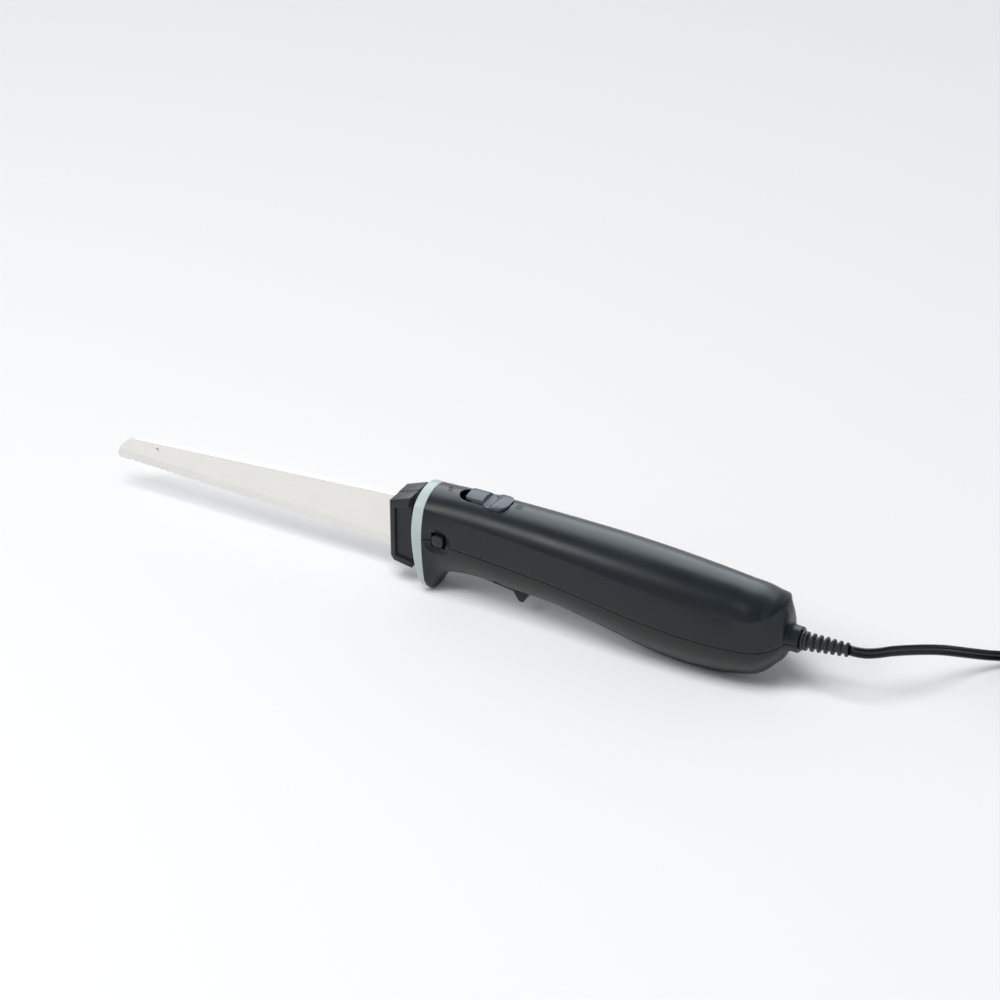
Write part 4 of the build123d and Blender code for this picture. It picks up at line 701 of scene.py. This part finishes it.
# The coil is a spiral of half turns. Half way, one of them climbs to a second layer.
coil_x, coil_y, coil_z = 398.0, 114.0, 4.5
coil_radii = (42.8, 40.2, 37.6, 35.0, 32.4, 29.8, 27.8, 29.75, 32.75, 35.0, 37.6, 40.2)
climbing_half_turn = 6
coil_layer_rise = 7.1
coil_tail = 50.0
points_per_half_turn = 8
coil_side = -1
cord_points = [at(*p) for p in cord_route]
for i, radius in enumerate(coil_radii):
    rise = coil_layer_rise if i == climbing_half_turn else 0.0
    for k in range(points_per_half_turn):
        share = (k + 0.5) / points_per_half_turn
        reach = radius / math.cos(math.pi / points_per_half_turn / 2)
        cord_points.append(at(coil_x - coil_side * reach * math.sin(math.pi * share),
                              coil_y + coil_side * (radius - reach * math.cos(math.pi * share)),
                              coil_z + rise * share))
    coil_y += coil_side * 2 * radius
    coil_z += rise
    coil_side = -coil_side
cord_points += [at(coil_x + coil_tail / 2, coil_y, coil_z), at(coil_x + coil_tail, coil_y, coil_z)]

route = bpy.data.curves.new("cord_route", "CURVE")
route.dimensions = "3D"
route.resolution_u = 4
spline = route.splines.new("NURBS")
spline.points.add(len(cord_points) - 1)
for point, place in zip(spline.points, cord_points):
    point.co = (*place, 1.0)
spline.order_u = 3
spline.use_endpoint_u = True
route_piece = bpy.data.objects.new("cord_route", route)
line = [v.co.copy() for v in bpy.data.meshes.new_from_object(route_piece).vertices]
bpy.data.objects.remove(route_piece)

# The section stands on edge: two round cores, and the web angle is where the web meets them
core_radius = cord_thickness / 2 * mm
core_offset = (cord_width - cord_thickness) / 2 * mm
core_points = 12
web_angle = math.radians(58)
section = []
for end in (1, -1):
    for k in range(core_points):
        angle = -web_angle + (math.pi + 2 * web_angle) * k / (core_points - 1)
        section.append((core_radius * math.cos(angle) * end,
                        (core_offset + core_radius * math.sin(angle)) * end))
mesh_maker = bmesh.new()
rings, loops = [], []
for i, place in enumerate(line):
    heading = (line[min(i + 1, len(line) - 1)] - line[max(i - 1, 0)]).normalized()
    across = heading.cross(Vector((0, 0, 1))).normalized()
    upward = across.cross(heading)
    ring, loop = ring_of(mesh_maker, [place + across * a + upward * b for a, b in section])
    rings.append(ring)
    loops.append(loop)
bridge(mesh_maker, loops)
for ring in (rings[0], rings[-1]):
    mesh_maker.faces.new(ring)
bmesh.ops.recalc_face_normals(mesh_maker, faces=mesh_maker.faces)
cord_mesh = bpy.data.meshes.new("mains_cord_flex")
mesh_maker.to_mesh(cord_mesh)
mesh_maker.free()
cord_mesh.shade_smooth()


def new_piece(name, mesh, material):
    """A mesh as a piece of the scene, in one finish."""
    piece = bpy.data.objects.new(name, mesh)
    bpy.context.scene.collection.objects.link(piece)
    mesh.materials.clear()
    mesh.materials.append(material)
    return piece


# Soft vinyl, extruded: deep black and glossy, with a thin bright line along each core
cord_vinyl = moulded_plastic("black_pvc_flex", "#0d0d0e", 0.22, 1.2 * mm, 0.02 * mm)
cord_piece = new_piece("mains_cord_flex", cord_mesh, cord_vinyl)
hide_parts("mains_cord", "cord_coil")
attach(cord_piece, "handle")
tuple(line[0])
dress(cord_vinyl, "inner_cord")


# Tie and plug: a vinyl band round the coil, and a plug body of the same vinyl moulded over the
# end of the cord with two flat prongs.
# Brass under bright nickel, stamped: pale and shiny, with a hint of yellow
prong_brass = drawn_metal("nickel_plated_brass", "#c9c4b4", 0.25, 0.5 * mm, 0.003 * mm)
dress(relief_vinyl, "coil_tie", "plug_body")
dress(prong_brass, "plug_prongs")


# Floor: a wide sweep of backdrop paper. It is matt, so it shows only light and shadow, and its
# colour is painted a little darker towards the camera and lighter towards the back, as painted
# light falling off across it.
floor_half = 6.0
painted_falloff_front_y, painted_falloff_rear_y = -0.7, 1.6
# Uncoated paper: almost white and quite flat, with a faint mottle of its fibres at 2.5 mm
floor_paper = new_material("white_backdrop_paper")
tree = floor_paper.node_tree
floor_place = add_node(tree, "TexCoord").outputs["Object"]
fibre = add_node(tree, "TexNoise", {"Vector": floor_place, "Scale": 1 / (2.5 * mm)})
paper_mottle = add_node(tree, "MapRange", {"Value": fibre.outputs["Fac"],
                                           "To Min": 0.995, "To Max": 1.005})
paper_reach = add_node(tree, "SeparateXYZ", {"Vector": floor_place})
# Painted light: the paper's colour runs from 0.95 at the front to 1.05 at the back
painted_light_falloff = add_node(tree, "MapRange", {
    "Value": paper_reach.outputs["Y"], "From Min": painted_falloff_front_y, "From Max": painted_falloff_rear_y,
    "To Min": 0.95, "To Max": 1.05})
fibre_and_painted_light = add_node(tree, "Math", {0: paper_mottle.outputs["Result"],
                                      1: painted_light_falloff.outputs["Result"]}, operation="MULTIPLY")
paper_colour = add_node(tree, "HueSaturation", {"Value": fibre_and_painted_light.outputs["Value"],
                                                "Color": linear("#f3f3f4")})
paper = add_node(tree, "BsdfDiffuse", {"Color": paper_colour.outputs["Color"]})
add_node(tree, "OutputMaterial", {"Surface": paper.outputs["BSDF"]})
mesh_maker = bmesh.new()
bmesh.ops.create_grid(mesh_maker, x_segments=1, y_segments=1, size=floor_half)
floor_mesh = bpy.data.meshes.new("floor")
mesh_maker.to_mesh(floor_mesh)
mesh_maker.free()
floor = new_piece("floor", floor_mesh, floor_paper)


# Light: a dim sky that is brightest near the horizon and behind the knife, and three softboxes.
# The large one hangs over the camera side, aimed past the knife, and isn't seen in reflections.
# The rear panel is seen only in reflections, as the long highlight of the crown.
world = bpy.data.worlds.new("studio")
world.use_nodes = True
bpy.context.scene.world = world
tree = world.node_tree
tree.nodes.clear()
facing = add_node(tree, "SeparateXYZ", {"Vector": add_node(tree, "TexCoord").outputs["Generated"]})
lift = add_node(tree, "MapRange", {"Value": facing.outputs["Z"], "From Min": 0.15,
                                   "From Max": 0.8, "To Min": 0.8, "To Max": 0.3},
                interpolation_type="SMOOTHSTEP")
depth = add_node(tree, "MapRange", {"Value": facing.outputs["Y"], "From Min": -0.5,
                                    "From Max": 0.5, "To Min": 0.55, "To Max": 1.0},
                 interpolation_type="SMOOTHSTEP")
glow = add_node(tree, "Math", {0: lift.outputs["Result"], 1: depth.outputs["Result"]},
                operation="MULTIPLY")
sky = add_node(tree, "Background", {"Color": linear("#f2f6fb"),
                                    "Strength": glow.outputs["Value"]})
add_node(tree, "OutputWorld", {"Surface": sky.outputs["Background"]})


def soft_lamp(name, place, aim, size, power):
    """A square softbox that looks at a point, its size in metres and its power in watts."""
    lamp = bpy.data.lights.new(name, "AREA")
    lamp.shape = "SQUARE"
    lamp.size = size
    lamp.energy = power
    holder = bpy.data.objects.new(name, lamp)
    holder.location = place
    holder.rotation_euler = (Vector(aim) - Vector(place)).to_track_quat("-Z", "Y").to_euler()
    bpy.context.scene.collection.objects.link(holder)
    return holder


soft_lamp("front_softbox", (-0.8, -1.1, 1.3), (0.0, 0.0, 0.0), 0.5, 8.0)
overhead = soft_lamp("overhead_softbox", (0.1, -1.4, 4.0), (0.0, 2.2, 0.0), 2.2, 138.0)
overhead.visible_glossy = False
rear_panel = soft_lamp("rear_panel", (-0.6, 1.05, 1.3), (0.1, 0.0, 0.05), 1.7, 38.0)
rear_panel.visible_diffuse = False
rear_panel.data.color = (0.88, 0.96, 1.0)


# Camera: in front of the knife and to the right of the handle, looking down by 32 degrees. It
# has a long lens and stands about 1.9 m away, as for a product photograph.
camera_place = (0.8247, -1.4480, 1.1014)
camera_down = math.radians(32.0)
camera_turn = math.radians(28.5)
camera_data = bpy.data.cameras.new("camera")
camera_data.lens = 118.8
camera_data.sensor_width = 36.0
camera_data.sensor_fit = "HORIZONTAL"
camera = bpy.data.objects.new("camera", camera_data)
camera.location = camera_place
camera.rotation_euler = (math.pi / 2 - camera_down, 0.0, camera_turn)
bpy.context.scene.collection.objects.link(camera)
bpy.context.scene.camera = camera
bpy.context.scene.view_settings.view_transform = "Standard"
